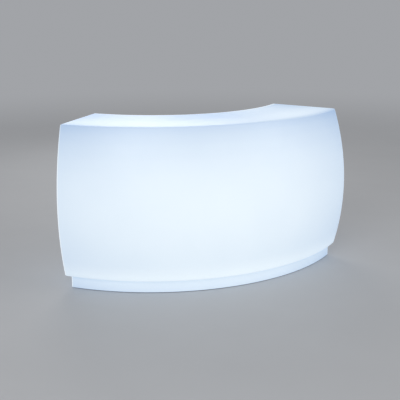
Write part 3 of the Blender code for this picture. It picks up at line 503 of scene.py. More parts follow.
LAMINATE = Finish(
    "shelf_laminate", "white_laminate", (0.78, 0.80, 0.82), 0.30, mottle=0.012, mottle_scale=25.0,
    uneven=0.03, grain=0.00001, grain_scale=1400.0, coat=0.15,
)
EDGE_BAND = Finish(
    "board_edge_band", "white_laminate", (0.74, 0.77, 0.80), 0.42, mottle=0.03, grain_scale=600.0,
)
WHITE_PLASTIC = Finish("moulded_white", "white_plastic", (0.80, 0.81, 0.82), 0.45)
BLACK_PLASTIC = Finish(
    "moulded_black", "black_plastic", (0.030, 0.030, 0.034), 0.48, mottle=0.2, uneven=0.08, grain=0.00008,
)
CABLE_SHEATH = Finish(
    "cable_sheath", "black_plastic", (0.026, 0.026, 0.028), 0.38, mottle=0.15, grain_scale=500.0,
    stretch=(0.4, 0.4, 1.0),
)
ZINC = Finish(
    "zinc_plate", "zinc_plated_steel", (0.60, 0.63, 0.66), 0.34, metallic=1.0, mottle=0.12,
    mottle_scale=40.0, uneven=0.10, grain=0.00003, grain_scale=1200.0,
)
NICKEL = Finish(
    "nickel_contacts", "zinc_plated_steel", (0.72, 0.70, 0.64), 0.22, metallic=1.0, uneven=0.05,
    grain=0.00001,
)
ALUMINIUM = Finish(
    "anodised_extrusion", "anodised_aluminium", (0.78, 0.79, 0.81), 0.32, metallic=1.0, mottle_scale=120.0,
    grain_scale=1500.0, stretch=(1.0, 1.0, 0.02),
)
RUBBER = Finish(
    "pad_rubber", "black_rubber", (0.021, 0.021, 0.022), 0.82, mottle=0.25, mottle_scale=70.0, uneven=0.06,
    grain=0.0002, grain_scale=700.0,
)
# The LED strip's board carries a painted glow: it is no lamp, and its emission stands in for its chips'
# light falling on it.
BOARD = EvenGlow(
    "strip_board", "led_board", (0.86, 0.88, 0.90), 0.45, glow=(0.85, 0.95, 1.0), strength=0.9,
    mottle_scale=90.0,
)
PHOSPHOR = EvenGlow(
    "led_phosphor", "led_board", (0.90, 0.86, 0.60), 0.30, glow=(0.95, 0.97, 1.0), strength=6.0,
    mottle_scale=300.0,
)
OPAL = EvenGlow(
    "opal_tube", "opal_acrylic", (0.75, 0.79, 0.82), 0.25, glow=(0.80, 0.94, 1.0), strength=0.8, coat=0.2,
    mottle_scale=8.0,
)
MARKS = Finish("printed_marks", "white_plastic", (0.82, 0.82, 0.80), 0.5, mottle_scale=400.0, grain=0.00001)


def plain_object(name: str, held: bpy.types.ID) -> bpy.types.Object:
    """Puts a new object in the scene.

    Args:
        name: Its name.
        held: The mesh, lamp or camera that it holds.

    Returns:
        The object.
    """
    made = bpy.data.objects.new(name, held)
    bpy.context.scene.collection.objects.link(made)
    return made


def settled(holder: bpy.types.Object) -> bpy.types.Mesh:
    """Makes a plain mesh of what an object's modifiers make of it.

    Args:
        holder: The object, which is removed.

    Returns:
        The mesh.
    """
    bpy.context.view_layer.update()
    graph = bpy.context.evaluated_depsgraph_get()
    mesh = bpy.data.meshes.new_from_object(holder.evaluated_get(graph), depsgraph=graph)
    bpy.data.objects.remove(holder)
    return mesh


def closed_mesh(bm: bmesh.types.BMesh, outwards: bool = True) -> bpy.types.Mesh:
    """The mesh of a closed bmesh, which is freed.

    Args:
        bm: The bmesh.
        outwards: Whether its faces are turned to point outwards.

    Returns:
        The mesh.
    """
    if outwards:
        bmesh.ops.recalc_face_normals(bm, faces=bm.faces)
    mesh = bpy.data.meshes.new("mesh")
    bm.to_mesh(mesh)
    bm.free()
    return mesh


def box_mesh(place: Matrix) -> bpy.types.Mesh:
    """Makes a box.

    Args:
        place: The frame, with its size, that turns a unit cube into the box.

    Returns:
        The mesh.
    """
    bm = bmesh.new()
    bmesh.ops.create_cube(bm, size=1, matrix=place)
    return closed_mesh(bm)


class Boolean(Enum):
    """What is done to a mesh with others, as the modifier calls it."""

    CUT = "DIFFERENCE"
    JOIN = "UNION"


def combined(
    mesh: bpy.types.Mesh, operation: Boolean, others: Iterable[bpy.types.Mesh],
) -> bpy.types.Mesh:
    """A mesh after one Boolean with several others.

    Args:
        mesh: The mesh that is cut or added to.
        operation: Which of the two.
        others: The meshes that are taken away or added, which don't touch each other.

    Returns:
        The new mesh.
    """
    holder = plain_object("holder", mesh)
    tools = bpy.data.collections.new("tools")
    bpy.context.scene.collection.children.link(tools)
    for other in others:
        tools.objects.link(bpy.data.objects.new("tool", other))
    boolean = holder.modifiers.new("boolean", "BOOLEAN")
    boolean.operation = operation.value
    boolean.solver = "MANIFOLD"
    boolean.operand_type = "COLLECTION"
    boolean.collection = tools
    made = settled(holder)
    for tool in list(tools.objects):
        bpy.data.objects.remove(tool)
    bpy.data.collections.remove(tools)
    return made


def eased(mesh: bpy.types.Mesh, turn: float = SMOOTH_TURN) -> bpy.types.Mesh:
    """Shades a mesh smooth except where it turns sharply, its flat faces flat to their very edges.

    Args:
        mesh: The mesh.
        turn: The turn from which an edge is sharp.

    Returns:
        The new mesh.
    """
    mesh.shade_smooth()
    mesh.set_sharp_from_angle(angle=turn)
    holder = plain_object("holder", mesh)
    weights = holder.modifiers.new("weights", "WEIGHTED_NORMAL")
    weights.keep_sharp = True
    return settled(holder)


def piece(
    name: str, mesh: bpy.types.Mesh, finish: Finish, body: str = "root", stands_for: Sequence[str] = (),
) -> bpy.types.Object:
    """A finished piece that rides on a body.

    Args:
        name: The piece's name.
        mesh: Its mesh, in place.
        finish: Its finish, unless the mesh already has materials.
        body: The body that it rides on.
        stands_for: The model's nodes that it replaces.

    Returns:
        The piece.
    """
    mesh.name = name
    if not any(mesh.materials):
        mesh.materials.clear()
        mesh.materials.append(finish.material())
    made = plain_object(name, mesh)
    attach(made, body)
    if stands_for:
        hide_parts(*stands_for)
    LOG.info("%s: %d faces on %s", name, len(mesh.polygons), body)
    return made


def dressed(
    name: str, node: str, width: float, finish: Finish, body: str = "root",
) -> bpy.types.Object:
    """A finished piece with a node's own shape, its sharp edges rounded.

    Args:
        name: The piece's name.
        node: The model's node that it replaces.
        width: How wide the rounding is.
        finish: Its finish.
        body: The body that it rides on.

    Returns:
        The piece.
    """
    return piece(name, softened(node, width), finish, body, [node])


def joined(meshes: Iterable[bpy.types.Mesh]) -> bpy.types.Mesh:
    """Puts several meshes into one, each still a body of its own.

    Args:
        meshes: The meshes.

    Returns:
        The mesh.
    """
    bm = bmesh.new()
    for mesh in meshes:
        bm.from_mesh(mesh)
    return closed_mesh(bm, outwards=False)


def rounded(outline: Outline, radius: float, steps: int) -> Outline:
    """The outline with each sharp corner turned into an arc.

    Args:
        outline: The corners of a closed outline.
        radius: The arcs' radius.
        steps: How many pieces each arc has.

    Returns:
        The new outline.
    """
    points = []
    for before, corner, after in zip(outline[-1:] + outline[:-1], outline, outline[1:] + outline[:1]):
        inwards = (corner - before).normalized()
        outwards = (after - corner).normalized()
        turn = math.atan2(inwards.x * outwards.y - inwards.y * outwards.x, inwards.dot(outwards))
        if abs(turn) < SMOOTH_TURN:
            points.append(corner)
            continue
        start = corner - inwards * radius * math.tan(abs(turn) / 2)
        centre = start + Vector((-inwards.y, inwards.x)) * math.copysign(radius, turn)
        for step in range(steps + 1):
            points.append(centre + Matrix.Rotation(turn * step / steps, 2) @ (start - centre))
    return points


def block(inner: float, outer: float, low: float, high: float) -> Outline:
    """A four-cornered section between two radii and two heights."""
    return [Vector(point) for point in ((outer, low), (outer, high), (inner, high), (inner, low))]


def around(at: Matrix, x: float, y: float) -> list[Matrix]:
    """The four places at a distance in X and in Y from a frame."""
    return [at @ Matrix.Translation((turn * x, side * y, 0)) for turn in (-1, 1) for side in (-1, 1)]


def upright(half: float, low: float, high: float) -> Outline:
    """A rectangle about the X axis's zero, as (x, z) points."""
    return [Vector(point) for point in ((-half, low), (half, low), (half, high), (-half, high))]


def bridge(
    bm: bmesh.types.BMesh, first: Sequence[bmesh.types.BMVert], second: Sequence[bmesh.types.BMVert],
) -> None:
    """Joins two closed rings of as many points each by faces.

    Args:
        bm: The bmesh.
        first: The first ring.
        second: The second ring.
    """
    for here in range(len(first)):
        after = (here + 1) % len(first)
        bm.faces.new((first[here], first[after], second[after], second[here]))


def loop_mesh(rings: Sequence[Sequence[Vector]], attribute: Sequence[float] = ()) -> bpy.types.Mesh:
    """A closed mesh through rings of as many points each, with a flat face at either end.

    Args:
        rings: The rings, in order.
        attribute: For each ring, the end_inset that its points carry.

    Returns:
        The mesh.
    """
    bm = bmesh.new()
    layer = bm.verts.layers.float.new("end_inset") if attribute else None
    made = []
    for number, ring in enumerate(rings):
        verts = [bm.verts.new(point) for point in ring]
        if layer is not None:
            for vert in verts:
                vert[layer] = attribute[number]
        made.append(verts)
    for first, second in zip(made, made[1:]):
        bridge(bm, first, second)
    bm.faces.new(made[0])
    bm.faces.new(made[-1])
    return closed_mesh(bm)


def sweep(outline_at: OutlineAt, soft: float, soft_steps: int, steps: int) -> list[Row]:
    """The sections of a moulding, from one end to the other.

    Args:
        outline_at: Its section, moved inwards by a distance.
        soft: The rounding of both ends' rims, 0 for none.
        soft_steps: How many pieces each rounding has.
        steps: How many pieces it has between them.

    Returns:
        For each section its share of the length, how far the ends are moved in there, and its outline.
    """
    count = soft_steps if soft else 0
    turns = [math.pi / 2 * step / count for step in range(count)]
    ends = [(soft * (1 - math.cos(turn)), outline_at(soft * (1 - math.sin(turn)))) for turn in turns]
    plain = outline_at(0.0)
    rows = [(0.0, moved, outline) for moved, outline in ends]
    rows += [(step / steps, soft, plain) for step in range(steps + 1)]
    return rows + [(1.0, moved, outline) for moved, outline in reversed(ends)]


def wave(angle: float, count: int) -> float:
    """A level that rises from 0 to 1 and falls again that many times in a full turn."""
    return 0.5 - 0.5 * math.cos(angle * count)


def turned(profile: Profile, sides: int, ripple: Ripple = lambda angle, height: 0.0) -> bpy.types.Mesh:
    """A turned piece about Z that is closed on its axis.

    Args:
        profile: Radius and height down its outer side, the first and last on the axis.
        sides: How many sides it has.
        ripple: What a point's angle and height add to its radius.

    Returns:
        The mesh.
    """
    bm = bmesh.new()
    rings = []
    for radius, height in profile:
        if radius < WELD:
            rings.append([bm.verts.new((0, 0, height))])
            continue
        ring = []
        for side in range(sides):
            angle = 2 * math.pi * side / sides
            reach = radius + ripple(angle, height)
            ring.append(bm.verts.new((reach * math.cos(angle), reach * math.sin(angle), height)))
        rings.append(ring)
    for first, second in zip(rings, rings[1:]):
        for here in range(sides):
            after = (here + 1) % sides
            corners = [first[here % len(first)], second[here % len(second)]]
            corners += [second[after % len(second)], first[after % len(first)]]
            bm.faces.new(list(dict.fromkeys(corners)))
    return closed_mesh(bm)


def in_order(bm: bmesh.types.BMesh) -> bmesh.types.BMesh:
    """Sorts a bmesh's parts by their places, because the tools leave them in an order of each run's own.

    Args:
        bm: The bmesh.

    Returns:
        The same bmesh.
    """
    def rank(point: Vector) -> float:
        """A number that puts places in order."""
        return point.dot(ORDER)

    bm.verts.sort(key=lambda vert: rank(vert.co))
    bm.edges.sort(key=lambda edge: rank(edge.verts[0].co + edge.verts[1].co))
    bm.faces.sort(key=lambda face: rank(face.calc_center_median()))
    return bm


def bent_plate(outline: Outline, thickness: float, steps: float, bevel: float = 0.0) -> bmesh.types.BMesh:
    """A flat plate in the XZ plane, cut into upright strips so that it can be bent.

    Args:
        outline: Its outline, as (x, z) points.
        thickness: Its thickness, towards +Y.
        steps: How wide the strips are.
        bevel: The rounding of its rims.

    Returns:
        The plate's bmesh.
    """
    bm = bmesh.new()
    face = bm.faces.new([bm.verts.new((point.x, 0, point.y)) for point in outline])
    extruded = bmesh.ops.extrude_face_region(bm, geom=[face])
    moved = [item for item in extruded["geom"] if isinstance(item, bmesh.types.BMVert)]
    bmesh.ops.translate(bm, vec=(0, thickness, 0), verts=moved)
    bmesh.ops.recalc_face_normals(bm, faces=bm.faces)
    if bevel:
        rims = [edge for edge in bm.edges if abs(edge.calc_face_angle(0)) > RIM_TURN]
        bmesh.ops.bevel(
            bm, geom=rims, offset=bevel, segments=SOFT_STEPS, profile=ROUND_PROFILE, affect="EDGES",
        )
    low = min(vert.co.x for vert in bm.verts)
    high = max(vert.co.x for vert in bm.verts)
    for cut in range(1, math.ceil((high - low) / steps)):
        everything = [*bm.verts, *bm.edges, *bm.faces]
        bmesh.ops.bisect_plane(bm, geom=everything, plane_co=(low + cut * steps, 0, 0), plane_no=(1, 0, 0))
    return in_order(bm)


def softened(node: str, width: float) -> bpy.types.Mesh:
    """A copy of a node's mesh, welded, with its sharp edges rounded.

    Args:
        node: The model's node.
        width: How wide the rounding is.

    Returns:
        The mesh.
    """
    bm = bmesh.new()
    bm.from_mesh(frame["nodes"][node].data)
    bmesh.ops.remove_doubles(bm, verts=bm.verts, dist=WELD)
    bmesh.ops.dissolve_limit(bm, angle_limit=FLAT_TURN, verts=bm.verts, edges=bm.edges)
    edges = [edge for edge in bm.edges if edge.is_manifold and edge.calc_face_angle(0) > EDGE_TURN]
    bmesh.ops.bevel(
        bm, geom=edges, offset=width, segments=EDGE_STEPS, profile=EDGE_PROFILE, affect="EDGES",
        clamp_overlap=True,
    )
    return eased(closed_mesh(bm, outwards=False))


def new_tree(name: str, inputs: Mapping[str, str]) -> Graph:
    """Starts a node tree that takes geometry, sizes and a finish, and gives geometry.

    Args:
        name: The tree's name.
        inputs: The kind of socket of each size by its name.

    Returns:
        The tree's graph, with its inputs as given.
    """
    tree = bpy.data.node_groups.new(name, "GeometryNodeTree")
    for title, kind in {"Geometry": "Geometry", **inputs, "Finish": "Material"}.items():
        tree.interface.new_socket(title, in_out="INPUT", socket_type=f"NodeSocket{kind}")
    tree.interface.new_socket("Geometry", in_out="OUTPUT", socket_type="NodeSocketGeometry")
    graph = Graph(tree)
    graph.given = graph.node("NodeGroupInput").outputs
    return graph


def ended(graph: Graph, geometry: bpy.types.NodeSocket) -> bpy.types.NodeTree:
    """Ends a node tree: its instances become real and take the finish.

    Args:
        graph: The tree's graph.
        geometry: What the tree made.

    Returns:
        The tree.
    """
    real = graph.node("GeometryNodeRealizeInstances", {0: geometry})
    given = {0: real.outputs[0], "Material": graph.given["Finish"]}
    graph.node("NodeGroupOutput", {0: graph.node("GeometryNodeSetMaterial", given).outputs[0]})
    return graph.tree


def run_tree(holder: bpy.types.Object, tree: bpy.types.NodeTree, values: Mapping[str, object]) -> None:
    """Puts a node tree on an object.

    Args:
        holder: The object.
        tree: The tree.
        values: Its inputs by their names, each set by its socket's identifier.
    """
    modifier = holder.modifiers.new(tree.name, "NODES")
    modifier.node_group = tree
    for socket in tree.interface.items_tree:
        if socket.in_out == "INPUT" and socket.name in values:
            modifier[socket.identifier] = values[socket.name]


class Side(Enum):
    """Where a piece stands along the arc, as the sign of its angle."""

    LEFT = -1
    MIDDLE = 0
    RIGHT = 1

    @property
    def word(self) -> str:
        """Its word in the pieces' names."""
        return self.name.lower()


ENDS = (Side.LEFT, Side.RIGHT)


@dataclass(frozen=True)
class Arc:
    """The counter's plan: arcs about one centre, between two end planes that meet behind it.

    Attributes:
        centre_y: Y of the centre.
        end_angle: The angle between the Y axis and each end plane.
        apex_setback: How far in front of the centre the end planes meet.
    """

    centre_y: float
    end_angle: float = math.radians(38.5)
    apex_setback: float = 0.200

    def end_at(self, inset: float, radius: float) -> float:
        """Finds where the right end plane crosses a radius.

        Args:
            inset: How far the plane is moved in.
            radius: The radius.

        Returns:
            The angle.
        """
        apex = self.apex_setback - inset / math.sin(self.end_angle)
        across = apex * math.sin(self.end_angle)
        reach = apex * math.cos(self.end_angle) + math.sqrt(radius**2 - across**2)
        return math.asin(reach * math.sin(self.end_angle) / radius)

    def point(self, radius: float, angle: float, height: float = 0.0) -> Vector:
        """The point at that radius and angle."""
        return Vector((radius * math.sin(angle), self.centre_y - radius * math.cos(angle), height))

    def place(self, radius: float, angle: float, height: float = 0.0) -> Matrix:
        """The frame of what stands there: its X runs along the arc, and its Y to the bartender."""
        return Matrix.Translation(self.point(radius, angle, height)) @ Matrix.Rotation(angle, 4, "Z")

    def end_edge(self, inset: float, side: Side) -> Edge:
        """The edge of a sector that ends at an end plane."""
        return lambda radius, inwards: side.value * self.end_at(inset + inwards, radius)

    def line_edge(self, angle: float, side: Side) -> Edge:
        """The edge of a sector that ends at a fixed angle."""
        return lambda radius, inwards: angle - side.value * inwards / radius

    def sector(
        self, outline_at: OutlineAt, first: Edge, last: Edge, soft: float, steps: int,
    ) -> bpy.types.Mesh:
        """A closed mesh that carries a section along the arc.

        Args:
            outline_at: The section, moved inwards by a distance.
            first: The edge on the left.
            last: The edge on the right.
            soft: The rounding of both ends' rims.
            steps: How many pieces the arc has.

        Returns:
            The mesh.
        """
        rings = []
        for share, inwards, outline in sweep(outline_at, soft, SOFT_STEPS, steps):
            ring = []
            for radius, height in outline:
                low = first(radius, inwards)
                ring.append(self.point(radius, low + (last(radius, inwards) - low) * share, height))
            rings.append(ring)
        return loop_mesh(rings)

    def bent(self, bm: bmesh.types.BMesh, radius: float, angle: float) -> bpy.types.Mesh:
        """The mesh of a flat plate laid round the arc, its Y towards the centre.

        Args:
            bm: The plate's bmesh, which is freed.
            radius: The radius at which its own Y is 0.
            angle: The angle at which its own X is 0.

        Returns:
            The mesh.
        """
        for vert in bm.verts:
            vert.co = self.point(radius - vert.co.y, angle + vert.co.x / radius, vert.co.z)
        return closed_mesh(bm)


@dataclass
class Bender:
    """Bends straight mouldings round the counter's arcs with one node tree.

    Attributes:
        arc: The counter's plan.
        steps: How many pieces a moulding has along the arc.
        end_steps: How many pieces its rounded ends have.
    """

    arc: Arc
    steps: int = 96
    end_steps: int = 6

    def __post_init__(self) -> None:
        """Builds the tree."""
        self.tree = self.make_tree()

    def make_tree(self) -> bpy.types.NodeTree:
        """Makes the tree, for which a point's X is its share of the arc and its Y is its radius.

        Returns:
            The tree.
        """
        sizes = {name: "Float" for name in ("End Angle", "Apex Setback", "Centre Y")}
        graph = new_tree("bend_round_counter", sizes)
        share, radius, height = graph.split(graph.node("GeometryNodeInputPosition").outputs[0])
        named = graph.node("GeometryNodeInputNamedAttribute", {"Name": "end_inset"}, data_type="FLOAT")
        sine = graph.math("SINE", graph.given["End Angle"])
        cosine = graph.math("COSINE", graph.given["End Angle"])
        inset = graph.math("DIVIDE", named.outputs["Attribute"], sine)
        apex = graph.minus(graph.given["Apex Setback"], inset)
        across = graph.times(apex, sine)
        squares = graph.minus(graph.times(radius, radius), graph.times(across, across))
        reach = graph.plus(graph.times(apex, cosine), graph.math("SQRT", squares))
        end = graph.math("ARCSINE", graph.math("DIVIDE", graph.times(reach, sine), radius))
        angle = graph.times(share, end)
        x = graph.times(radius, graph.math("SINE", angle))
        y = graph.minus(graph.given["Centre Y"], graph.times(radius, graph.math("COSINE", angle)))
        place = graph.node("ShaderNodeCombineXYZ", {0: x, 1: y, 2: height}).outputs[0]
        given = {"Geometry": graph.given["Geometry"], "Position": place}
        return ended(graph, graph.node("GeometryNodeSetPosition", given).outputs[0])

    def soft(self, outline_at: OutlineAt, inset: float, edge: float, finish: Finish) -> bpy.types.Mesh:
        """A closed moulding from end plane to end plane.

        Args:
            outline_at: Its section, moved inwards by a distance.
            inset: How far inside the counter's end planes it ends.
            edge: The rounding of its ends' rims, 0 for none.
            finish: What it is made of.

        Returns:
            The mesh.
        """
        rows = sweep(outline_at, edge, self.end_steps, self.steps)
        rings = [[Vector((2 * share - 1, *point)) for point in outline] for share, _, outline in rows]
        straight = plain_object("straight", loop_mesh(rings, [inset + moved for _, moved, _ in rows]))
        run_tree(straight, self.tree, {
            "End Angle": self.arc.end_angle, "Apex Setback": self.arc.apex_setback,
            "Centre Y": self.arc.centre_y, "Finish": finish.material(),
        })
        bm = bmesh.new()
        bm.from_mesh(settled(straight))
        mesh = closed_mesh(bm)
        mesh.materials.append(finish.material())
        return mesh


@dataclass
class Fasteners:
    """Cross-headed screws, set on points of the counter by one node tree.

    Attributes:
        sides: How many sides a head has.
        profile: Its shape, in shares of its radius and its height.
        cross_length: The length of its recess's arms, as a share of its radius.
        cross_width: Their width, as a share of its radius.
        cross_level: The height of the recess's middle, as a share of its height.
    """

    sides: int = 20
    profile: Profile = ((0.0, 1.0), (0.55, 0.94), (0.88, 0.6), (1.0, 0.12), (1.0, -0.3), (0.0, -0.3))
    cross_length: float = 1.1
    cross_width: float = 0.26
    cross_level: float = 0.95

    def __post_init__(self) -> None:
        """Builds the tree."""
        self.tree = self.make_tree()

    def make_tree(self) -> bpy.types.NodeTree:
        """Makes the tree: each point carries the direction that its screw faces, and turns it at random.

        Returns:
            The tree.
        """
        graph = new_tree("set_fasteners", {"Head": "Object", "Seed": "Int"})
        head = graph.node("GeometryNodeObjectInfo", {"Object": graph.given["Head"]}).outputs["Geometry"]
        named = graph.node("GeometryNodeInputNamedAttribute", {"Name": "facing"}, data_type="FLOAT_VECTOR")
        facing = {"Vector": named.outputs["Attribute"]}
        aligned = graph.node("FunctionNodeAlignRotationToVector", facing, axis="Z").outputs[0]
        seed = {"Seed": graph.given["Seed"]}
        chance = graph.node("FunctionNodeRandomValue", seed, data_type="FLOAT").outputs[1]
        euler = graph.node("ShaderNodeCombineXYZ", {2: graph.times(chance, 2 * math.pi)}).outputs[0]
        turn = graph.node("FunctionNodeEulerToRotation", {0: euler}).outputs[0]
        both = graph.node("FunctionNodeRotateRotation", {0: aligned, 1: turn}, rotation_space="LOCAL")
        placed = graph.node("GeometryNodeInstanceOnPoints", {
            "Points": graph.given["Geometry"], "Instance": head, "Rotation": both.outputs[0],
        })
        return ended(graph, placed.outputs[0])

    def head(self, radius: float, height: float) -> bpy.types.Object:
        """Makes one screw's head, on Z, with its recess.

        Args:
            radius: Its radius.
            height: How high it stands.

        Returns:
            The object.
        """
        cap = turned([(radius * out, height * up) for out, up in self.profile], self.sides)
        size = Matrix.Diagonal((radius * self.cross_length, radius * self.cross_width, height, 1))
        for arm in (0.0, math.pi / 2):
            raised = Matrix.Translation((0, 0, height * self.cross_level))
            recess = box_mesh(Matrix.Rotation(arm, 4, "Z") @ raised @ size)
            cap = combined(cap, Boolean.CUT, [recess])
        return plain_object("head", eased(cap))

    def set(
        self, name: str, places: Sequence[Matrix], radius: float, body: str = "root", proud: float = 0.0012,
        seed: int = 3,
    ) -> None:
        """Sets a screw at each place.

        Args:
            name: The piece's name.
            places: Frames whose Z the screws face, on the surface that they hold.
            radius: The heads' radius.
            body: The body that they ride on.
            proud: How far the heads stand out.
            seed: The seed of their turns.
        """
        head = self.head(radius, proud)
        points = bpy.data.meshes.new("points")
        points.from_pydata([place.translation for place in places], [], [])
        facing = points.attributes.new("facing", "FLOAT_VECTOR", "POINT")
        for item, place in zip(facing.data, places):
            item.vector = place.to_3x3() @ Vector((0, 0, 1))
        holder = plain_object("points", points)
        run_tree(holder, self.tree, {"Head": head, "Seed": seed, "Finish": ZINC.material()})
        mesh = settled(holder)
        bpy.data.objects.remove(head)
        piece(name, mesh, ZINC, body)


class Rows:
    """Rows of like small shapes, made by one node tree."""

    def __init__(self) -> None:
        """Builds the tree."""
        self.tree = self.make_tree()

    def make_tree(self) -> bpy.types.NodeTree:
        """Makes the tree: a line of boxes with a size, a first place and a step.

        Returns:
            The tree.
        """
        sizes = {"Count": "Int", "Start": "Vector", "Step": "Vector", "Size": "Vector"}
        graph = new_tree("row_of_blocks", sizes)
        line = graph.node("GeometryNodeMeshLine", {
            "Count": graph.given["Count"], "Start Location": graph.given["Start"],
            "Offset": graph.given["Step"],
        })
        cube = graph.node("GeometryNodeMeshCube", {"Size": graph.given["Size"]})
        placed = graph.node("GeometryNodeInstanceOnPoints", {
            "Points": line.outputs[0], "Instance": cube.outputs[0],
        })
        return ended(graph, placed.outputs[0])

    def row(
        self, count: int, start: Vector, step: Vector, size: Vector, place: Matrix, finish: Finish,
        rim: float,
    ) -> bpy.types.Mesh:
        """A row of boxes with rounded edges.

        Args:
            count: How many there are.
            start: The first one's middle.
            step: From each to the next.
            size: Their size.
            place: The frame that the row lies in.
            finish: Their finish.
            rim: How much their edges are rounded.

        Returns:
            The mesh.
        """
        holder = plain_object("row", bpy.data.meshes.new("row"))
        run_tree(holder, self.tree, {
            "Count": count, "Start": start, "Step": step, "Size": size, "Finish": finish.material(),
        })
        bevel = holder.modifiers.new("rims", "BEVEL")
        bevel.width = rim
        bevel.segments = 1
        mesh = settled(holder)
        mesh.transform(place)
        return mesh


@dataclass
class Moulding:
    """The one-piece outer moulding, bulging to the guests, on its plinth.

    The sizes are the model's own; the bulge is a little smaller, because a smooth curve through the
    model's flat faces would stand out of them.
    """

    arc: Arc
    bender: Bender
    finish: Finish
    height: float = 1.100
    top_front: float = 1.440
    lip_front: float = 1.470
    bulge: float = 0.0793
    back: float = 0.940
    wall: float = 0.006
    edge: float = 0.012
    least_corner: float = 0.002
    plinth_height: float = 0.090
    plinth_front: float = 1.438
    plinth_back: float = 0.970
    plinth_end: float = 0.030
    skirt_gap: float = 0.005
    skirt_rim: float = 0.002
    flange_height: float = 0.0203
    flange_width: float = 0.018
    deck_underside: float = 0.115
    liner_top: float = 1.045
    opening_inset: float = 0.0394
    seat: float = 0.0006
    margin: float = 0.010
    window_height: float = 0.050
    windows: tuple = ((math.radians(8.0), 0.029, 0.023), (math.radians(11.5), 0.019, 0.027))
    front_steps: int = 40
    corner_steps: int = 6

    def front_at(self, height: float) -> float:
        """Finds how far out the front is.

        Args:
            height: The height.

        Returns:
            The front's radius there.
        """
        share = (height - self.plinth_height) / (self.height - self.plinth_height)
        straight = self.lip_front + (self.top_front - self.lip_front) * share
        return straight + 4 * self.bulge * share * (1 - share)

    def section(self, inset: float) -> Outline:
        """Draws the body's section, its corners rounded.

        Args:
            inset: How far it is moved inwards.

        Returns:
            Its outline.
        """
        low = self.plinth_height + inset
        rise = self.height - self.plinth_height - 2 * inset
        steps = [low + rise * step / self.front_steps for step in range(self.front_steps + 1)]
        front = [Vector((self.front_at(height) - inset, height)) for height in steps]
        back = [Vector((self.back + inset, height)) for height in (steps[-1], steps[0])]
        radius = max(self.edge + self.least_corner - inset, self.least_corner)
        return rounded(front + back, radius, self.corner_steps)

    def plinth_section(self, inset: float, low: float, high: float) -> Outline:
        """The plinth's section between two heights, its walls moved inwards by inset."""
        return block(self.plinth_back + inset, self.plinth_front - inset, low, high)

    def window(self, angle: float, width: float, tall: float) -> bpy.types.Mesh:
        """Makes the cut for the inlet's or the switch's body, in the plinth's back wall.

        Args:
            angle: Where it is along the arc.
            width: Its width.
            tall: Its height.

        Returns:
            The cut's mesh.
        """
        size = Matrix.Diagonal((width, 2 * (self.wall + self.margin), tall, 1))
        return box_mesh(self.arc.place(self.plinth_back, angle, self.window_height) @ size)

    def plinth(self, inset: float) -> Outline:
        """The plinth's own section, which reaches up into the body, its corners rounded."""
        top = self.plinth_height + self.wall + self.margin / 2
        return rounded(self.plinth_section(inset, self.skirt_gap, top), self.skirt_rim, SOFT_STEPS)

    def cuts(self) -> list[bpy.types.Mesh]:
        """Makes the cuts that hollow the moulding.

        Returns:
            The hollow of the body, of the plinth above its flange and under it, the flange's own opening,
            and the opening to the bay.
        """
        above = self.plinth_height + self.wall + self.margin
        inside = self.plinth_end + self.wall
        flange_top = self.flange_height + self.wall
        hollows = (
            (0.0, flange_top, above),
            (0.0, self.skirt_gap - self.margin, self.flange_height),
            (self.flange_width, self.flange_height - self.margin / 2, flange_top + self.margin / 2),
        )
        opening = block(
            self.back - self.margin, self.back + self.wall + self.margin, self.deck_underside - self.seat,
            self.liner_top + self.seat,
        )
        made = [
            self.bender.soft(
                lambda inset: self.section(self.wall + inset), self.wall, self.wall, self.finish
            )
        ]
        for narrower, low, high in hollows:
            outline = self.plinth_section(self.wall + narrower, low, high)
            made.append(self.bender.soft(lambda inset: outline, inside + narrower, 0.0, self.finish))
        made.append(self.bender.soft(lambda inset: opening, self.opening_inset, 0.0, self.finish))
        return made

    def build(self) -> None:
        """Makes the moulding."""
        body = self.bender.soft(self.section, 0.0, self.edge, self.finish)
        plinth = self.bender.soft(self.plinth, self.plinth_end, self.edge, self.finish)
        whole = combined(body, Boolean.JOIN, [plinth])
        cuts = self.cuts() + [self.window(*window) for window in self.windows]
        hollowed = eased(combined(whole, Boolean.CUT, cuts))
        piece("moulded_body", hollowed, self.finish, stands_for=["counter_shell"])


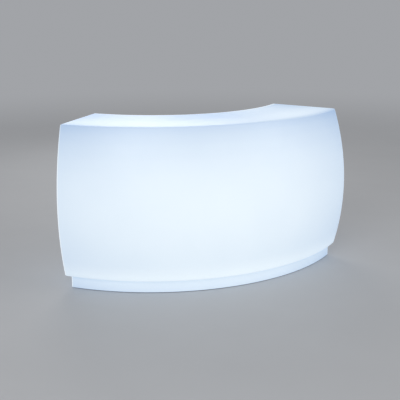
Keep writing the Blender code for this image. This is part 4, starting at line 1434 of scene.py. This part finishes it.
@dataclass
class Liner:
    """The bay liner with its flange, ledges and hatch opening, and the screws that hold it."""

    arc: Arc
    bender: Bender
    fasteners: Fasteners
    finish: Finish
    face: float = 0.9394
    flange: float = 0.003
    flange_overlap: float = 0.012
    wall: float = 0.005
    bay: float = 1.230
    end_inset: float = 0.045
    deck: float = 0.120
    ceiling: float = 1.040
    corner: float = 0.003
    hatch_half: float = 0.148
    hatch_low: float = 0.200
    hatch_high: float = 0.500
    hatch_corner: float = 0.006
    corner_steps: int = 4
    ledge_front: float = 1.000
    ledge_depth: float = 0.018
    ledge_height: float = 0.018
    ledge_rim: float = 0.002
    ledge_steps: int = 2
    under_shelf: float = 0.5877
    margin: float = 0.010
    rim: float = 0.0008
    least_rim: float = 0.0001
    least_corner: float = 0.0002
    strip: float = 0.02
    screw_radius: float = 0.0036
    screw_proud: float = 0.0016
    screw_pitch: float = 0.150

    def hatch_window(self) -> bpy.types.Mesh:
        """Makes the cut for the hatch, with rounded corners.

        Returns:
            The cut's mesh.
        """
        corners = upright(self.hatch_half, self.hatch_low, self.hatch_high)
        outline = rounded(corners, self.hatch_corner, self.corner_steps)
        plate = bent_plate(outline, 2 * self.margin, self.strip)
        return self.arc.bent(plate, self.bay + self.margin, 0.0)

    def ledge(self, side: Side) -> bpy.types.Mesh:
        """Makes the ledge that carries a board's end, on one end wall.

        Args:
            side: Which end wall.

        Returns:
            The ledge's mesh.
        """
        insets = (self.end_inset - self.wall / 2, self.end_inset + self.ledge_depth)
        edges = [self.arc.end_edge(inset, side) for inset in insets[::-side.value]]
        low = self.under_shelf - self.ledge_height
        section = block(self.ledge_front, self.bay + self.wall / 2, low, self.under_shelf)
        outline = rounded(section, self.ledge_rim, self.ledge_steps)
        return self.arc.sector(lambda inset: outline, *edges, 0.0, self.ledge_steps)

    def screws(self) -> list[Matrix]:
        """Finds where the flange's screws are: along its top and bottom, and up its ends.

        Returns:
            Their places.
        """
        radius = self.face - self.flange
        strip = self.flange_overlap / 2 + self.wall
        places = []
        low = self.deck - strip
        high = self.ceiling + strip
        side = self.arc.end_at(self.end_inset - strip, radius)
        count = round(2 * side * radius / self.screw_pitch)
        for height in (low, high):
            for step in range(count + 1):
                angle = side * (2 * step / count - 1)
                places.append(self.arc.place(radius, angle, height) @ OUTWARDS)
        rows = round((high - low) / self.screw_pitch)
        for step in range(1, rows):
            height = low + (high - low) * step / rows
            places += [self.arc.place(radius, end.value * side, height) @ OUTWARDS for end in ENDS]
        return places

    def build(self) -> None:
        """Makes the liner and sets its screws."""
        outer_end = self.end_inset - self.wall
        flange_low = self.deck - self.wall - self.flange_overlap
        flange_high = self.ceiling + self.wall + self.flange_overlap
        flange = block(self.face - self.flange, self.face, flange_low, flange_high)
        tub = block(
            self.face - self.flange / 2, self.bay + self.wall, self.deck - self.wall,
            self.ceiling + self.wall,
        )
        inside = block(self.face - self.margin, self.bay, self.deck, self.ceiling)

        def shrunk(outline: Outline, inset: float, corner: float, least: float) -> Outline:
            """The outline of a block moved inwards, with its corners rounded.

            Args:
                outline: The block's outline.
                inset: How far it is moved inwards.
                corner: The radius of its corners before that.
                least: The least radius that they keep.

            Returns:
                The new outline.
            """
            (outer, low), (_, high), (inner, _), _ = outline
            moved = block(inner + inset, outer - inset, low + inset, high - inset)
            return rounded(moved, max(corner - inset, least), SOFT_STEPS)

        liner = self.bender.soft(
            lambda inset: shrunk(flange, inset, self.rim, self.least_rim), outer_end - self.flange_overlap,
            self.rim, self.finish,
        )
        outside = self.bender.soft(lambda inset: tub, outer_end, 0.0, self.finish)
        hollow = self.bender.soft(
            lambda inset: shrunk(inside, inset, self.corner, self.least_corner), self.end_inset, self.corner,
            self.finish,
        )
        liner = combined(liner, Boolean.JOIN, [outside])
        liner = combined(liner, Boolean.CUT, [hollow, self.hatch_window()])
        liner = combined(liner, Boolean.JOIN, [self.ledge(side) for side in ENDS])
        piece("bay_tub", eased(liner), self.finish, stands_for=["bay_liner"])
        self.fasteners.set("liner_screws", self.screws(), self.screw_radius, proud=self.screw_proud)


@dataclass
class Shelf:
    """The three boards of the shelf, the brackets under them and the screws in these."""

    arc: Arc
    fasteners: Fasteners
    top: float = 0.600
    thickness: float = 0.012
    front: float = 0.962
    back: float = 1.229
    joint: float = math.radians(13.0)
    gap: float = 0.001
    end: float = 0.046
    rim: float = 0.0012
    band: float = 0.0012
    least_rim: float = 0.0001
    end_normal: float = 0.5
    bracket_reach: float = 0.230
    bracket_face: float = 1.2294
    bracket_gap: float = 0.0006
    bracket_sheet: float = 0.003
    bracket_rim: float = 0.0006
    screw_across: float = 0.011
    screw_along: tuple = (0.25, 0.82)
    screw_radius: float = 0.003
    steps: int = 40

    def board(self, first: Edge, last: Edge) -> bpy.types.Mesh:
        """Makes a board with rounded rims, its front edge banded.

        Args:
            first: Its left edge.
            last: Its right edge.

        Returns:
            The board's mesh.
        """
        low = self.top - self.thickness

        def outline(inset: float) -> Outline:
            """The board's section moved inwards."""
            moved = block(self.front + inset, self.back - inset, low + inset, self.top - inset)
            return rounded(moved, max(self.rim - inset, self.least_rim), SOFT_STEPS)

        mesh = eased(self.arc.sector(outline, first, last, self.rim, self.steps))
        mesh.materials.append(LAMINATE.material())
        mesh.materials.append(EDGE_BAND.material())
        centre = self.arc.point(0.0, 0.0)
        for face in mesh.polygons:
            reach = (Vector((face.center.x, face.center.y, 0)) - centre).length
            on_end = abs(face.normal.z) < self.end_normal and reach < self.back - self.band
            if reach < self.front + self.band or on_end:
                face.material_index = 1
        return mesh

    def build(self) -> None:
        """Makes the boards, and dresses their brackets."""
        half_gap = self.gap / 2 / self.front
        inner = self.joint - half_gap
        outer = self.joint + half_gap
        spans = {
            "shelf_left": (self.arc.end_edge(self.end, Side.LEFT), self.arc.line_edge(-outer, Side.RIGHT)),
            "shelf_middle": (self.arc.line_edge(-inner, Side.LEFT), self.arc.line_edge(inner, Side.RIGHT)),
            "shelf_right": (self.arc.line_edge(outer, Side.LEFT), self.arc.end_edge(self.end, Side.RIGHT)),
        }
        for name, (first, last) in spans.items():
            mesh = self.board(first, last)
            piece(name.replace("shelf", "shelf_board"), mesh, LAMINATE, stands_for=[name])
        under = self.top - self.thickness - self.bracket_gap - self.bracket_sheet
        places = []
        for side in ENDS:
            dressed(f"bracket_{side.word}", f"shelf_bracket_{side.word}", self.bracket_rim, ZINC)
            at = self.arc.place(self.bracket_face, side.value * self.joint, under)
            for across in (-self.screw_across, self.screw_across):
                for along in self.screw_along:
                    shift = Matrix.Translation((across, along * self.bracket_reach, 0))
                    places.append(at @ shift @ DOWNWARDS)
        self.fasteners.set("bracket_screws", places, self.screw_radius, seed=5)


@dataclass
class Hatch:
    """The hatch: its door, knob, hinge, strike and magnet."""

    arc: Arc
    fasteners: Fasteners
    finish: Finish
    face: float = 1.2294
    thickness: float = 0.004
    half: float = 0.160
    low: float = 0.188
    high: float = 0.512
    corner: float = 0.008
    corner_steps: int = 5
    rim: float = 0.0011
    field_inset: float = 0.020
    field_depth: float = 0.0010
    barrel: float = 0.004
    barrel_offset: float = 0.0055
    barrel_low: float = 0.2805
    barrel_high: float = 0.4195
    barrel_sides: int = 32
    bore: float = 0.0018
    bore_sides: int = 24
    pull_radius: float = 0.011
    pull_length: float = 0.020
    pull_inset: float = 0.034
    pull_shape: tuple = (
        (0, 1), (0.5, 0.995), (0.78, 0.975), (0.92, 0.93), (1, 0.85), (1, 0.65), (0.9, 0.56), (0.62, 0.45),
        (0.5, 0.36), (0.48, 0.15), (0.5, 0), (0, 0),
    )
    pull_turn: float = math.radians(50.0)
    ridges: int = 24
    ridge_steps: int = 6
    ridge_depth: float = 0.0005
    ridge_middle: float = 0.75
    ridge_reach: float = 0.19
    strip: float = 0.010
    knuckle_overlap: float = 0.004
    screw_rise: float = 0.105
    leaf_inset: float = 0.0135
    leaf_thickness: float = 0.002
    magnet_rim: float = 0.0008
    strike_rim: float = 0.0004
    hinge_rim: float = 0.0003
    door_inset: float = 0.010
    screw_radius: float = 0.003
    screw_proud: float = 0.0007
    seat: float = 0.0006

    @property
    def middle(self) -> float:
        """The height of the door's middle."""
        return (self.low + self.high) / 2

    def rectangle(self, inset: float, corner: float) -> Outline:
        """Draws the door's outline, along the arc and up.

        Args:
            inset: How far it is moved inwards.
            corner: The radius of its corners.

        Returns:
            The outline.
        """
        corners = upright(self.half - inset, self.low + inset, self.high - inset)
        return rounded(corners, corner, self.corner_steps)

    def door(self) -> bpy.types.Mesh:
        """Makes the door: a curved panel with a shallow field, and its knuckle of the hinge.

        Returns:
            The door's mesh.
        """
        plate = bent_plate(self.rectangle(0.0, self.corner), self.thickness, self.strip, self.rim)
        panel = self.arc.bent(plate, self.face, 0.0)
        sunk = bent_plate(self.rectangle(self.field_inset, self.corner), 2 * self.field_depth, self.strip)
        field = self.arc.bent(sunk, self.face - self.thickness + self.field_depth, 0.0)
        panel = combined(panel, Boolean.CUT, [field])
        bay = self.face + self.seat
        at = self.arc.place(self.face - self.barrel, -self.half / bay - self.barrel_offset / bay)
        width = self.barrel_offset + self.knuckle_overlap
        size = Matrix.Diagonal((width, self.thickness / 2, self.barrel_high - self.barrel_low, 1))
        shift = Matrix.Translation((width / 2, self.thickness / 2 - self.barrel, self.middle))
        knuckle = box_mesh(at @ shift @ size)
        rod = self.rod(at, self.barrel, self.barrel_low, self.barrel_high, self.barrel_sides)
        bore = self.rod(at, self.bore, self.low, self.high, self.bore_sides)
        whole = combined(combined(panel, Boolean.JOIN, [knuckle]), Boolean.JOIN, [rod])
        return eased(combined(whole, Boolean.CUT, [bore]))

    def rod(self, at: Matrix, radius: float, low: float, high: float, sides: int) -> bpy.types.Mesh:
        """Makes a rod on the hinge's axis.

        Args:
            at: The frame on whose Z it stands.
            radius: Its radius.
            low: Where it begins.
            high: Where it ends.
            sides: How many sides it has.

        Returns:
            The rod's mesh.
        """
        mesh = turned([(0, high), (radius, high), (radius, low), (0, low)], sides)
        mesh.transform(at)
        return mesh

    def knob(self) -> bpy.types.Mesh:
        """Makes the turned knob, ridged round its widest part.

        Returns:
            The knob's mesh.
        """
        profile = [(self.pull_radius * out, self.pull_length * up) for out, up in self.pull_shape]

        def ripple(angle: float, height: float) -> float:
            """How far a ridge's groove goes in, at the widest part alone."""
            inside = max(0.0, 1 - abs(height / self.pull_length - self.ridge_middle) / self.ridge_reach)
            return -self.ridge_depth * inside * wave(angle, self.ridges)

        mesh = turned(profile, self.ridges * self.ridge_steps, ripple)
        angle = (self.half - self.pull_inset) / (self.face + self.seat)
        at = self.arc.place(self.face - self.thickness - self.seat, angle, self.middle)
        mesh.transform(at @ OUTWARDS)
        return eased(mesh, self.pull_turn)

    def build(self) -> None:
        """Makes the door and its knob, and dresses the hinge and the catch."""
        piece("hatch_panel", self.door(), self.finish, "hatch", ["hatch_door"])
        piece("hatch_knob", self.knob(), BLACK_PLASTIC, "hatch", ["hatch_pull"])
        dressed("hinge_leaf", "hatch_hinge_leaf", self.hinge_rim, ZINC)
        dressed("hinge_pin", "hatch_hinge_pin", self.hinge_rim, ZINC)
        dressed("catch_strike", "hatch_strike", self.strike_rim, ZINC, "hatch")
        dressed("catch_magnet", "hatch_magnet", self.magnet_rim, BLACK_PLASTIC)
        bay = self.face + self.seat
        leaf_angle = -(self.half + self.barrel_offset + self.leaf_inset) / bay
        door_angle = -(self.half - self.door_inset) / bay
        rows = (
            ("hinge_screws", self.face - self.leaf_thickness, leaf_angle, "root", 7),
            ("door_screws", self.face - self.thickness, door_angle, "hatch", 9),
        )
        for name, radius, angle, body, seed in rows:
            places = [
                self.arc.place(radius, angle, self.middle + rise) @ OUTWARDS
                for rise in (-self.screw_rise, 0.0, self.screw_rise)
            ]
            self.fasteners.set(name, places, self.screw_radius, body, self.screw_proud, seed)


@dataclass
class LightColumns:
    """The three light columns: base, extrusion, LED strip and opal tube."""

    arc: Arc
    rows: Rows
    fasteners: Fasteners
    radius: float = 1.315
    spacing: float = math.radians(22.0)
    floor: float = 0.0203
    base_radius: float = 0.040
    base_thickness: float = 0.006
    boss_radius: float = 0.024
    boss_height: float = 0.022
    touch: float = 0.0003
    profile_length: float = 0.880
    profile_side: float = 0.024
    strip_margin: float = 0.015
    strip_thickness: float = 0.0016
    chip: tuple = (0.0050, 0.0007, 0.0050)
    chip_pitch: float = 0.0125
    tube_radius: float = 0.030
    tube_wall: float = 0.002
    headroom: float = 0.012
    soft: float = 0.001
    chip_rim: float = 0.0002
    strip_rim: float = 0.0002
    profile_rim: float = 0.0004
    screw_reach: float = 0.035
    screw_count: int = 3
    screw_radius: float = 0.0028
    sides: int = 64
    dome_steps: int = 10

    def base(self) -> bpy.types.Mesh:
        """Makes a base with softened rims.

        Returns:
            The base's mesh.
        """
        top = self.floor + self.boss_height
        step = self.floor + self.base_thickness
        profile = [
            (0, top), (self.boss_radius - self.soft, top), (self.boss_radius, top - self.soft),
            (self.boss_radius, step), (self.base_radius - self.soft, step),
            (self.base_radius, step - self.soft), (self.base_radius, self.floor), (0, self.floor),
        ]
        return turned(profile, self.sides)

    def tube(self) -> bpy.types.Mesh:
        """Makes an opal tube, closed above by a dome.

        Returns:
            The tube's mesh.
        """
        low = self.floor + self.base_thickness + self.touch
        shoulder = self.floor + self.boss_height + self.touch + self.profile_length + self.headroom
        arcs = [math.pi / 2 * step / self.dome_steps for step in range(self.dome_steps + 1)]
        bore = self.tube_radius - self.tube_wall
        profile = [
            (self.tube_radius * math.sin(arc), shoulder + self.tube_radius * math.cos(arc)) for arc in arcs
        ]
        profile += [(self.tube_radius, low), (bore, low)]
        profile += [(bore * math.sin(arc), shoulder + bore * math.cos(arc)) for arc in reversed(arcs)]
        return turned(profile, self.sides)

    def chips(self, at: Matrix) -> bpy.types.Mesh:
        """Makes the row of lights on a column's strip.

        Args:
            at: The column's frame.

        Returns:
            The row's mesh.
        """
        usable = self.profile_length - 2 * self.strip_margin
        count = int(usable / self.chip_pitch)
        low = self.floor + self.boss_height + self.touch + self.strip_margin
        first = low + (usable - (count - 1) * self.chip_pitch) / 2
        front = -self.profile_side / 2 - self.touch - self.strip_thickness - self.chip[1] / 2
        step = Vector((0, 0, self.chip_pitch))
        start = Vector((0, front, first))
        return self.rows.row(count, start, step, Vector(self.chip), at, PHOSPHOR, self.chip_rim)

    def build(self) -> None:
        """Makes the three columns."""
        foot = Matrix.Translation((self.screw_reach, 0, self.floor + self.base_thickness))
        for side in Side:
            at = self.arc.place(self.radius, side.value * self.spacing)
            kinds = (("light_base", self.base(), WHITE_PLASTIC), ("diffuser_tube", self.tube(), OPAL))
            for kind, mesh, finish in kinds:
                mesh.transform(at)
                piece(f"{kind}_turned_{side.word}", eased(mesh), finish, stands_for=[f"{kind}_{side.word}"])
            dressed(f"extrusion_{side.word}", f"light_profile_{side.word}", self.profile_rim, ALUMINIUM)
            dressed(f"led_board_{side.word}", f"led_strip_{side.word}", self.strip_rim, BOARD)
            piece(f"led_chips_{side.word}", self.chips(at), PHOSPHOR)
            places = [
                at @ Matrix.Rotation(2 * math.pi * (step + 0.5) / self.screw_count, 4, "Z") @ foot
                for step in range(self.screw_count)
            ]
            self.fasteners.set(f"light_base_screws_{side.word}", places, self.screw_radius, seed=11)


@dataclass
class Driver:
    """The driver: its box and its ribbed lid."""

    arc: Arc
    rows: Rows
    fasteners: Fasteners
    radius: float = 1.130
    lid_top: float = 0.0626
    ribs: int = 15
    rib_pitch: float = 0.009
    rib: tuple = (0.0035, 0.050, 0.0012)
    rib_sunk: float = 0.0002
    rib_rim: float = 0.0003
    case_rim: float = 0.0012
    screw_x: float = 0.092
    screw_y: float = 0.027
    screw_radius: float = 0.0025
    screw_proud: float = 0.001

    def build(self) -> None:
        """Makes the box and its lid."""
        dressed("driver_case", "driver_box", self.case_rim, WHITE_PLASTIC)
        dressed("driver_cover", "driver_lid", self.case_rim, WHITE_PLASTIC)
        at = self.arc.place(self.radius, 0.0, self.lid_top)
        first = Vector((-(self.ribs - 1) / 2 * self.rib_pitch, 0, self.rib[2] / 2 - self.rib_sunk))
        step = Vector((self.rib_pitch, 0, 0))
        ribs = self.rows.row(self.ribs, first, step, Vector(self.rib), at, WHITE_PLASTIC, self.rib_rim)
        piece("driver_ribs", ribs, WHITE_PLASTIC)
        places = around(at, self.screw_x, self.screw_y)
        self.fasteners.set("driver_screws", places, self.screw_radius, proud=self.screw_proud, seed=13)


@dataclass
class Controls:
    """The mains inlet with its cap, and the rocker switch, in the plinth's back wall."""

    arc: Arc
    rows: Rows
    face: float = 0.9694
    height: float = 0.050
    inlet_angle: float = math.radians(8.0)
    switch_angle: float = math.radians(11.5)
    flange: float = 0.0025
    pin: tuple = (0.00215, 0.0130, 0.00415)
    pin_rim: float = 0.0004
    bezel_rim: float = 0.0005
    cap_pin_rim: float = 0.0002
    body_rim: float = 0.0004
    pin_pitch: float = 0.007
    pin_middle: float = -0.0235
    rocker_tilt: float = math.radians(7.0)
    rocker_proud: float = 0.0018
    mark_height: float = 0.0036
    mark_line: float = 0.0006
    mark_proud: float = 0.00012
    mark_rise: float = 0.005
    mark_sides: int = 32

    def ring(self) -> bpy.types.Mesh:
        """Makes the ring that marks off, flat on the XY plane.

        Returns:
            The ring's mesh.
        """
        outer = self.mark_height / 2
        inner = outer - self.mark_line
        turns = [2 * math.pi * side / self.mark_sides for side in range(self.mark_sides)]
        bm = bmesh.new()
        rings = [
            [bm.verts.new((radius * math.cos(turn), radius * math.sin(turn), height)) for turn in turns]
            for radius, height in block(inner, outer, self.mark_proud, -self.mark_proud)
        ]
        for first, second in zip(rings, rings[1:] + rings[:1]):
            bridge(bm, first, second)
        return closed_mesh(bm)

    def marks(self) -> bpy.types.Mesh:
        """Makes the marks for on and off: a stroke and a ring, on the rocker's two faces.

        Returns:
            Their mesh.
        """
        stroke = box_mesh(Matrix.Diagonal((self.mark_line, self.mark_height, self.mark_proud * 2, 1)))
        marks = [stroke, self.ring()]
        at = self.arc.place(self.face, self.switch_angle, self.height)
        pivot = Matrix.Translation((0, self.flange, 0)) @ Matrix.Rotation(self.rocker_tilt, 4, "X")
        for mesh, side in zip(marks, (1, -1)):
            lean = Matrix.Rotation(-side * self.rocker_tilt, 4, "X")
            face = Matrix.Translation((0, self.rocker_proud, 0)) @ lean
            mesh.transform(at @ pivot @ face @ Matrix.Translation((0, 0, side * self.mark_rise)) @ OUTWARDS)
        return joined(marks)

    def build(self) -> None:
        """Dresses the inlet, the cap and the switch."""
        dressed("inlet_body", "power_inlet", self.body_rim, BLACK_PLASTIC)
        dressed("inlet_flap_cover", "inlet_cap", self.body_rim, BLACK_PLASTIC, "inlet_flap")
        dressed("cap_pin", "inlet_cap_pin", self.cap_pin_rim, ZINC)
        dressed("switch_bezel", "switch_frame", self.bezel_rim, BLACK_PLASTIC)
        dressed("rocker_key", "switch_rocker", self.body_rim, BLACK_PLASTIC, "rocker")
        at = self.arc.place(self.face, self.inlet_angle, self.height)
        first = Vector((-self.pin_pitch, self.flange / 2 + self.pin_middle, 0))
        step = Vector((self.pin_pitch, 0, 0))
        contacts = self.rows.row(3, first, step, Vector(self.pin), at, NICKEL, self.pin_rim)
        piece("inlet_contacts", contacts, NICKEL)
        piece("switch_marks", self.marks(), MARKS, "rocker")


@dataclass
class Foot:
    """One levelling foot: its ribbed pad, threaded stud and nut."""

    number: int
    pad_radius: float = 0.020
    pad_thickness: float = 0.010
    chamfer: float = 0.003
    chamfer_out: float = 0.3
    chamfer_down: float = 0.45
    socket: float = 0.0075
    pad_floor: float = 0.003
    low_rim: float = 0.0012
    socket_rim: float = 0.0006
    ribs: int = 40
    rib_depth: float = 0.0005
    rib_steps: int = 4
    stud_radius: float = 0.005
    stud_length: float = 0.060
    stud_tip: float = 0.001
    stud_point: float = 0.0002
    soft: float = 0.0008
    neck: float = 0.002
    nut_rim: float = 0.0007
    ball: float = 0.0068
    ball_low: float = 0.0033
    ball_high: float = 0.0097
    pitch: float = 0.0015
    thread_depth: float = 0.0008
    thread_steps: int = 4
    sides: int = 24

    def pad(self) -> bpy.types.Mesh:
        """Makes the pad, ribbed round its side.

        Returns:
            The pad's mesh.
        """
        top = self.pad_thickness
        profile = [
            (0, self.pad_floor), (self.socket, self.pad_floor), (self.socket, top - self.socket_rim),
            (self.socket + self.socket_rim, top), (self.pad_radius - self.chamfer, top),
            (self.pad_radius - self.chamfer_out * self.chamfer, top - self.chamfer_down * self.chamfer),
            (self.pad_radius, top - self.chamfer), (self.pad_radius, self.low_rim),
            (self.pad_radius - self.low_rim, 0), (0, 0),
        ]

        def ripple(angle: float, height: float) -> float:
            """How far a groove goes in at the side's lower edge, from which it runs out upwards."""
            return -self.rib_depth * wave(angle, self.ribs) if height == self.low_rim else 0.0

        return turned(profile, self.ribs * self.rib_steps, ripple)

    def stud(self) -> bpy.types.Mesh:
        """Makes the stud, with a real thread above its ball.

        Returns:
            The stud's mesh.
        """
        below_tip = self.stud_length - self.soft
        rows = int((below_tip - self.ball_high - self.neck) / self.pitch * self.thread_steps)
        step = self.pitch / self.thread_steps
        heights = [below_tip - step - step * row for row in range(rows)]
        profile = [
            (0.0, self.stud_length), (self.stud_radius - self.stud_tip, self.stud_length),
            (self.stud_radius - self.stud_point, below_tip),
            *((self.stud_radius, height) for height in heights),
            (self.stud_radius - self.thread_depth, self.ball_high), (self.ball - self.soft, self.ball_high),
            (self.ball, self.ball_high - self.soft), (self.ball, self.ball_low + self.soft),
            (self.ball - self.soft, self.ball_low), (0.0, self.ball_low),
        ]

        def ripple(angle: float, height: float) -> float:
            """How far the thread's groove goes in there."""
            turn = (height / self.pitch - angle / (2 * math.pi)) % 1.0
            return -self.thread_depth * abs(2 * turn - 1) if heights[-1] <= height <= heights[0] else 0.0

        return turned(profile, self.sides, ripple)

    def build(self) -> None:
        """Makes the foot's pieces."""
        foot = f"foot_{self.number}"
        low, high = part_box(f"{foot}_pad")
        middle = (low + high) / 2
        at = Matrix.Translation((middle.x, middle.y, 0))
        pad = self.pad()
        pad.transform(at)
        piece(f"{foot}_rubber", eased(pad), RUBBER, foot, [f"{foot}_pad"])
        stud = self.stud()
        stud.transform(at)
        piece(f"{foot}_thread", eased(stud), ZINC, f"{foot}_screw", [f"{foot}_stud"])
        dressed(f"{foot}_hex", f"{foot}_nut", self.nut_rim, ZINC)


@dataclass
class Underframe:
    """The base plate and the two channels under the deck."""

    arc: Arc
    fasteners: Fasteners
    channel_radius: float = 1.090
    channel_angle: float = math.radians(18.0)
    channel_toe: float = 0.038
    screw_y: float = 0.045
    screw_radius: float = 0.004
    screw_proud: float = 0.0018
    plate_top: float = 0.0203
    sheet: float = 0.003
    channel_rim: float = 0.0008
    plate_rim: float = 0.0005

    def build(self) -> None:
        """Dresses the plate and the channels, and sets the channels' screws."""
        dressed("floor_plate", "base_plate", self.plate_rim, ZINC)
        places = []
        for side in ENDS:
            dressed(f"channel_{side.word}", f"deck_channel_{side.word}", self.channel_rim, ZINC)
            angle = side.value * self.channel_angle
            at = self.arc.place(self.channel_radius, angle, self.plate_top + self.sheet)
            places += around(at, self.channel_toe, self.screw_y)
        self.fasteners.set("channel_screws", places, self.screw_radius, proud=self.screw_proud, seed=15)


def dress_leads() -> None:
    """Gives the leads inside the counter their sheath."""
    for name in ("inlet_lead", "mains_lead", "light_lead_left", "light_lead_middle", "light_lead_right"):
        lead = frame["nodes"][name]
        lead.data.materials.clear()
        lead.data.materials.append(CABLE_SHEATH.material())
        LOG.info("%s: sheathed", name)


@dataclass
class Studio:
    """The floor, the light and the camera.

    Attributes:
        floor_colour: The floor's colour.
        background: The colour behind it.
        ambient: The level of the light from all round.
        camera_place: Where the camera stands.
        camera_turn: How it is turned.
        lens: Its focal length in millimetres.
        sensor: Its sensor's width in millimetres.
        shift_x: Its sideways shift.
        floor_size: How far the floor reaches from the middle.
        aim: What the lamps point at.
        lamp_size: The length of their sides.
        lamps: The place and the power in watts of each by its name.
    """

    floor_colour: Colour = (0.50, 0.51, 0.53)
    background: Colour = (0.36, 0.37, 0.39)
    ambient: float = 0.44
    camera_place: tuple = (-1.86014, -4.96315, 1.9259)
    camera_turn: tuple = (math.radians(75.173), 0.0, math.radians(-20.79))
    lens: float = 71.55
    sensor: float = 36.0
    shift_x: float = -0.03
    floor_size: float = 30.0
    aim: tuple = (0.0, 0.0, 0.5)
    lamp_size: float = 3.0
    lamps: tuple = (
        ("key", (-3.2, -4.2, 3.6), 90.0), ("fill", (3.8, -3.0, 2.6), 45.0), ("back", (0.5, 4.2, 3.4), 50.0),
    )

    def floor(self) -> None:
        """A plain pale floor, faintly uneven."""
        bm = bmesh.new()
        bmesh.ops.create_grid(bm, x_segments=1, y_segments=1, size=self.floor_size)
        mesh = bpy.data.meshes.new("floor")
        bm.to_mesh(mesh)
        bm.free()
        finish = FloorFinish(
            "floor", "", self.floor_colour, 0.65, mottle=0.015, mottle_scale=1.5, grain_scale=80.0,
            background=self.background,
        )
        mesh.materials.append(finish.material())
        plain_object("floor", mesh)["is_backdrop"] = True

    def world(self) -> None:
        """Even light from all round, with a pale background for the camera and for reflections."""
        world = bpy.data.worlds.new("studio")
        bpy.context.scene.world = world
        world.use_nodes = True
        graph = Graph(world.node_tree)
        light = world.node_tree.nodes["Background"]
        light.inputs["Color"].default_value = (1.0, 1.0, 1.0, 1)
        light.inputs["Strength"].default_value = self.ambient
        seen = graph.node("ShaderNodeBackground", {"Color": (*self.background, 1), "Strength": 1.0})
        shaders = {0: looked_at(graph), 1: light.outputs[0], 2: seen.outputs[0]}
        mixed = graph.node("ShaderNodeMixShader", shaders)
        out = world.node_tree.nodes["World Output"]
        world.node_tree.links.new(mixed.outputs[0], out.inputs["Surface"])

    def lamp(self, name: str, place: Vector, power: float) -> None:
        """Hangs a soft square lamp.

        Args:
            name: Its name.
            place: Where it hangs.
            power: Its power in watts.
        """
        data = bpy.data.lights.new(name, "AREA")
        data.shape = "SQUARE"
        data.size = self.lamp_size
        data.energy = power
        made = plain_object(name, data)
        made.location = place
        made.rotation_euler = (Vector(self.aim) - place).to_track_quat("-Z", "Y").to_euler()

    def camera(self) -> None:
        """The camera, at the photograph's angle."""
        data = bpy.data.cameras.new("camera")
        data.lens = self.lens
        data.sensor_width = self.sensor
        data.shift_x = self.shift_x
        made = plain_object("camera", data)
        made.location = self.camera_place
        made.rotation_euler = self.camera_turn
        bpy.context.scene.camera = made

    def build(self) -> None:
        """Sets the stage."""
        bpy.context.scene.view_settings.view_transform = "Standard"
        self.floor()
        self.world()
        for name, place, power in self.lamps:
            self.lamp(name, Vector(place), power)
        self.camera()


def corners() -> list[list[float]]:
    """The lowest and highest corner of what is shown, as plain lists."""
    return [list(corner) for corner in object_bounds()]


def main() -> None:
    """Builds the looks of the counter, piece by piece."""
    logging.basicConfig(level=logging.INFO, format="%(message)s")
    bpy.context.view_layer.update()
    Studio().build()
    arc = Arc(centre_y=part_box("counter_shell")[0].y + WIDEST)
    bender = Bender(arc)
    fasteners = Fasteners()
    rows = Rows()
    # The moulding, the bay liner and the hatch door glow with painted light; the door's is weaker than the
    # liner's.
    shell = MouldingGlow(
        "lit_moulding", "glowing_polyethylene", (0.48, 0.50, 0.51), 0.42, mottle=0.012, mottle_scale=6.0,
        uneven=0.05, grain=0.0003, grain_scale=260.0, centre_y=arc.centre_y,
    )
    liner = MouldingGlow(
        "lit_liner", "liner_polyethylene", (0.55, 0.58, 0.60), 0.45, mottle=0.015, mottle_scale=8.0,
        grain=0.0002, grain_scale=300.0, centre_y=arc.centre_y, level=0.50, inner=0.94, outer=1.23, rim=0.0,
    )
    door = replace(liner, name="lit_door", level=0.34)
    Moulding(arc, bender, shell).build()
    Liner(arc, bender, fasteners, liner).build()
    Shelf(arc, fasteners).build()
    Hatch(arc, fasteners, door).build()
    LightColumns(arc, rows, fasteners).build()
    Driver(arc, rows, fasteners).build()
    Controls(arc, rows).build()
    Underframe(arc, fasteners).build()
    for number in range(1, FEET + 1):
        Foot(number).build()
    dress_leads()


if __name__ == "__main__":
    main()
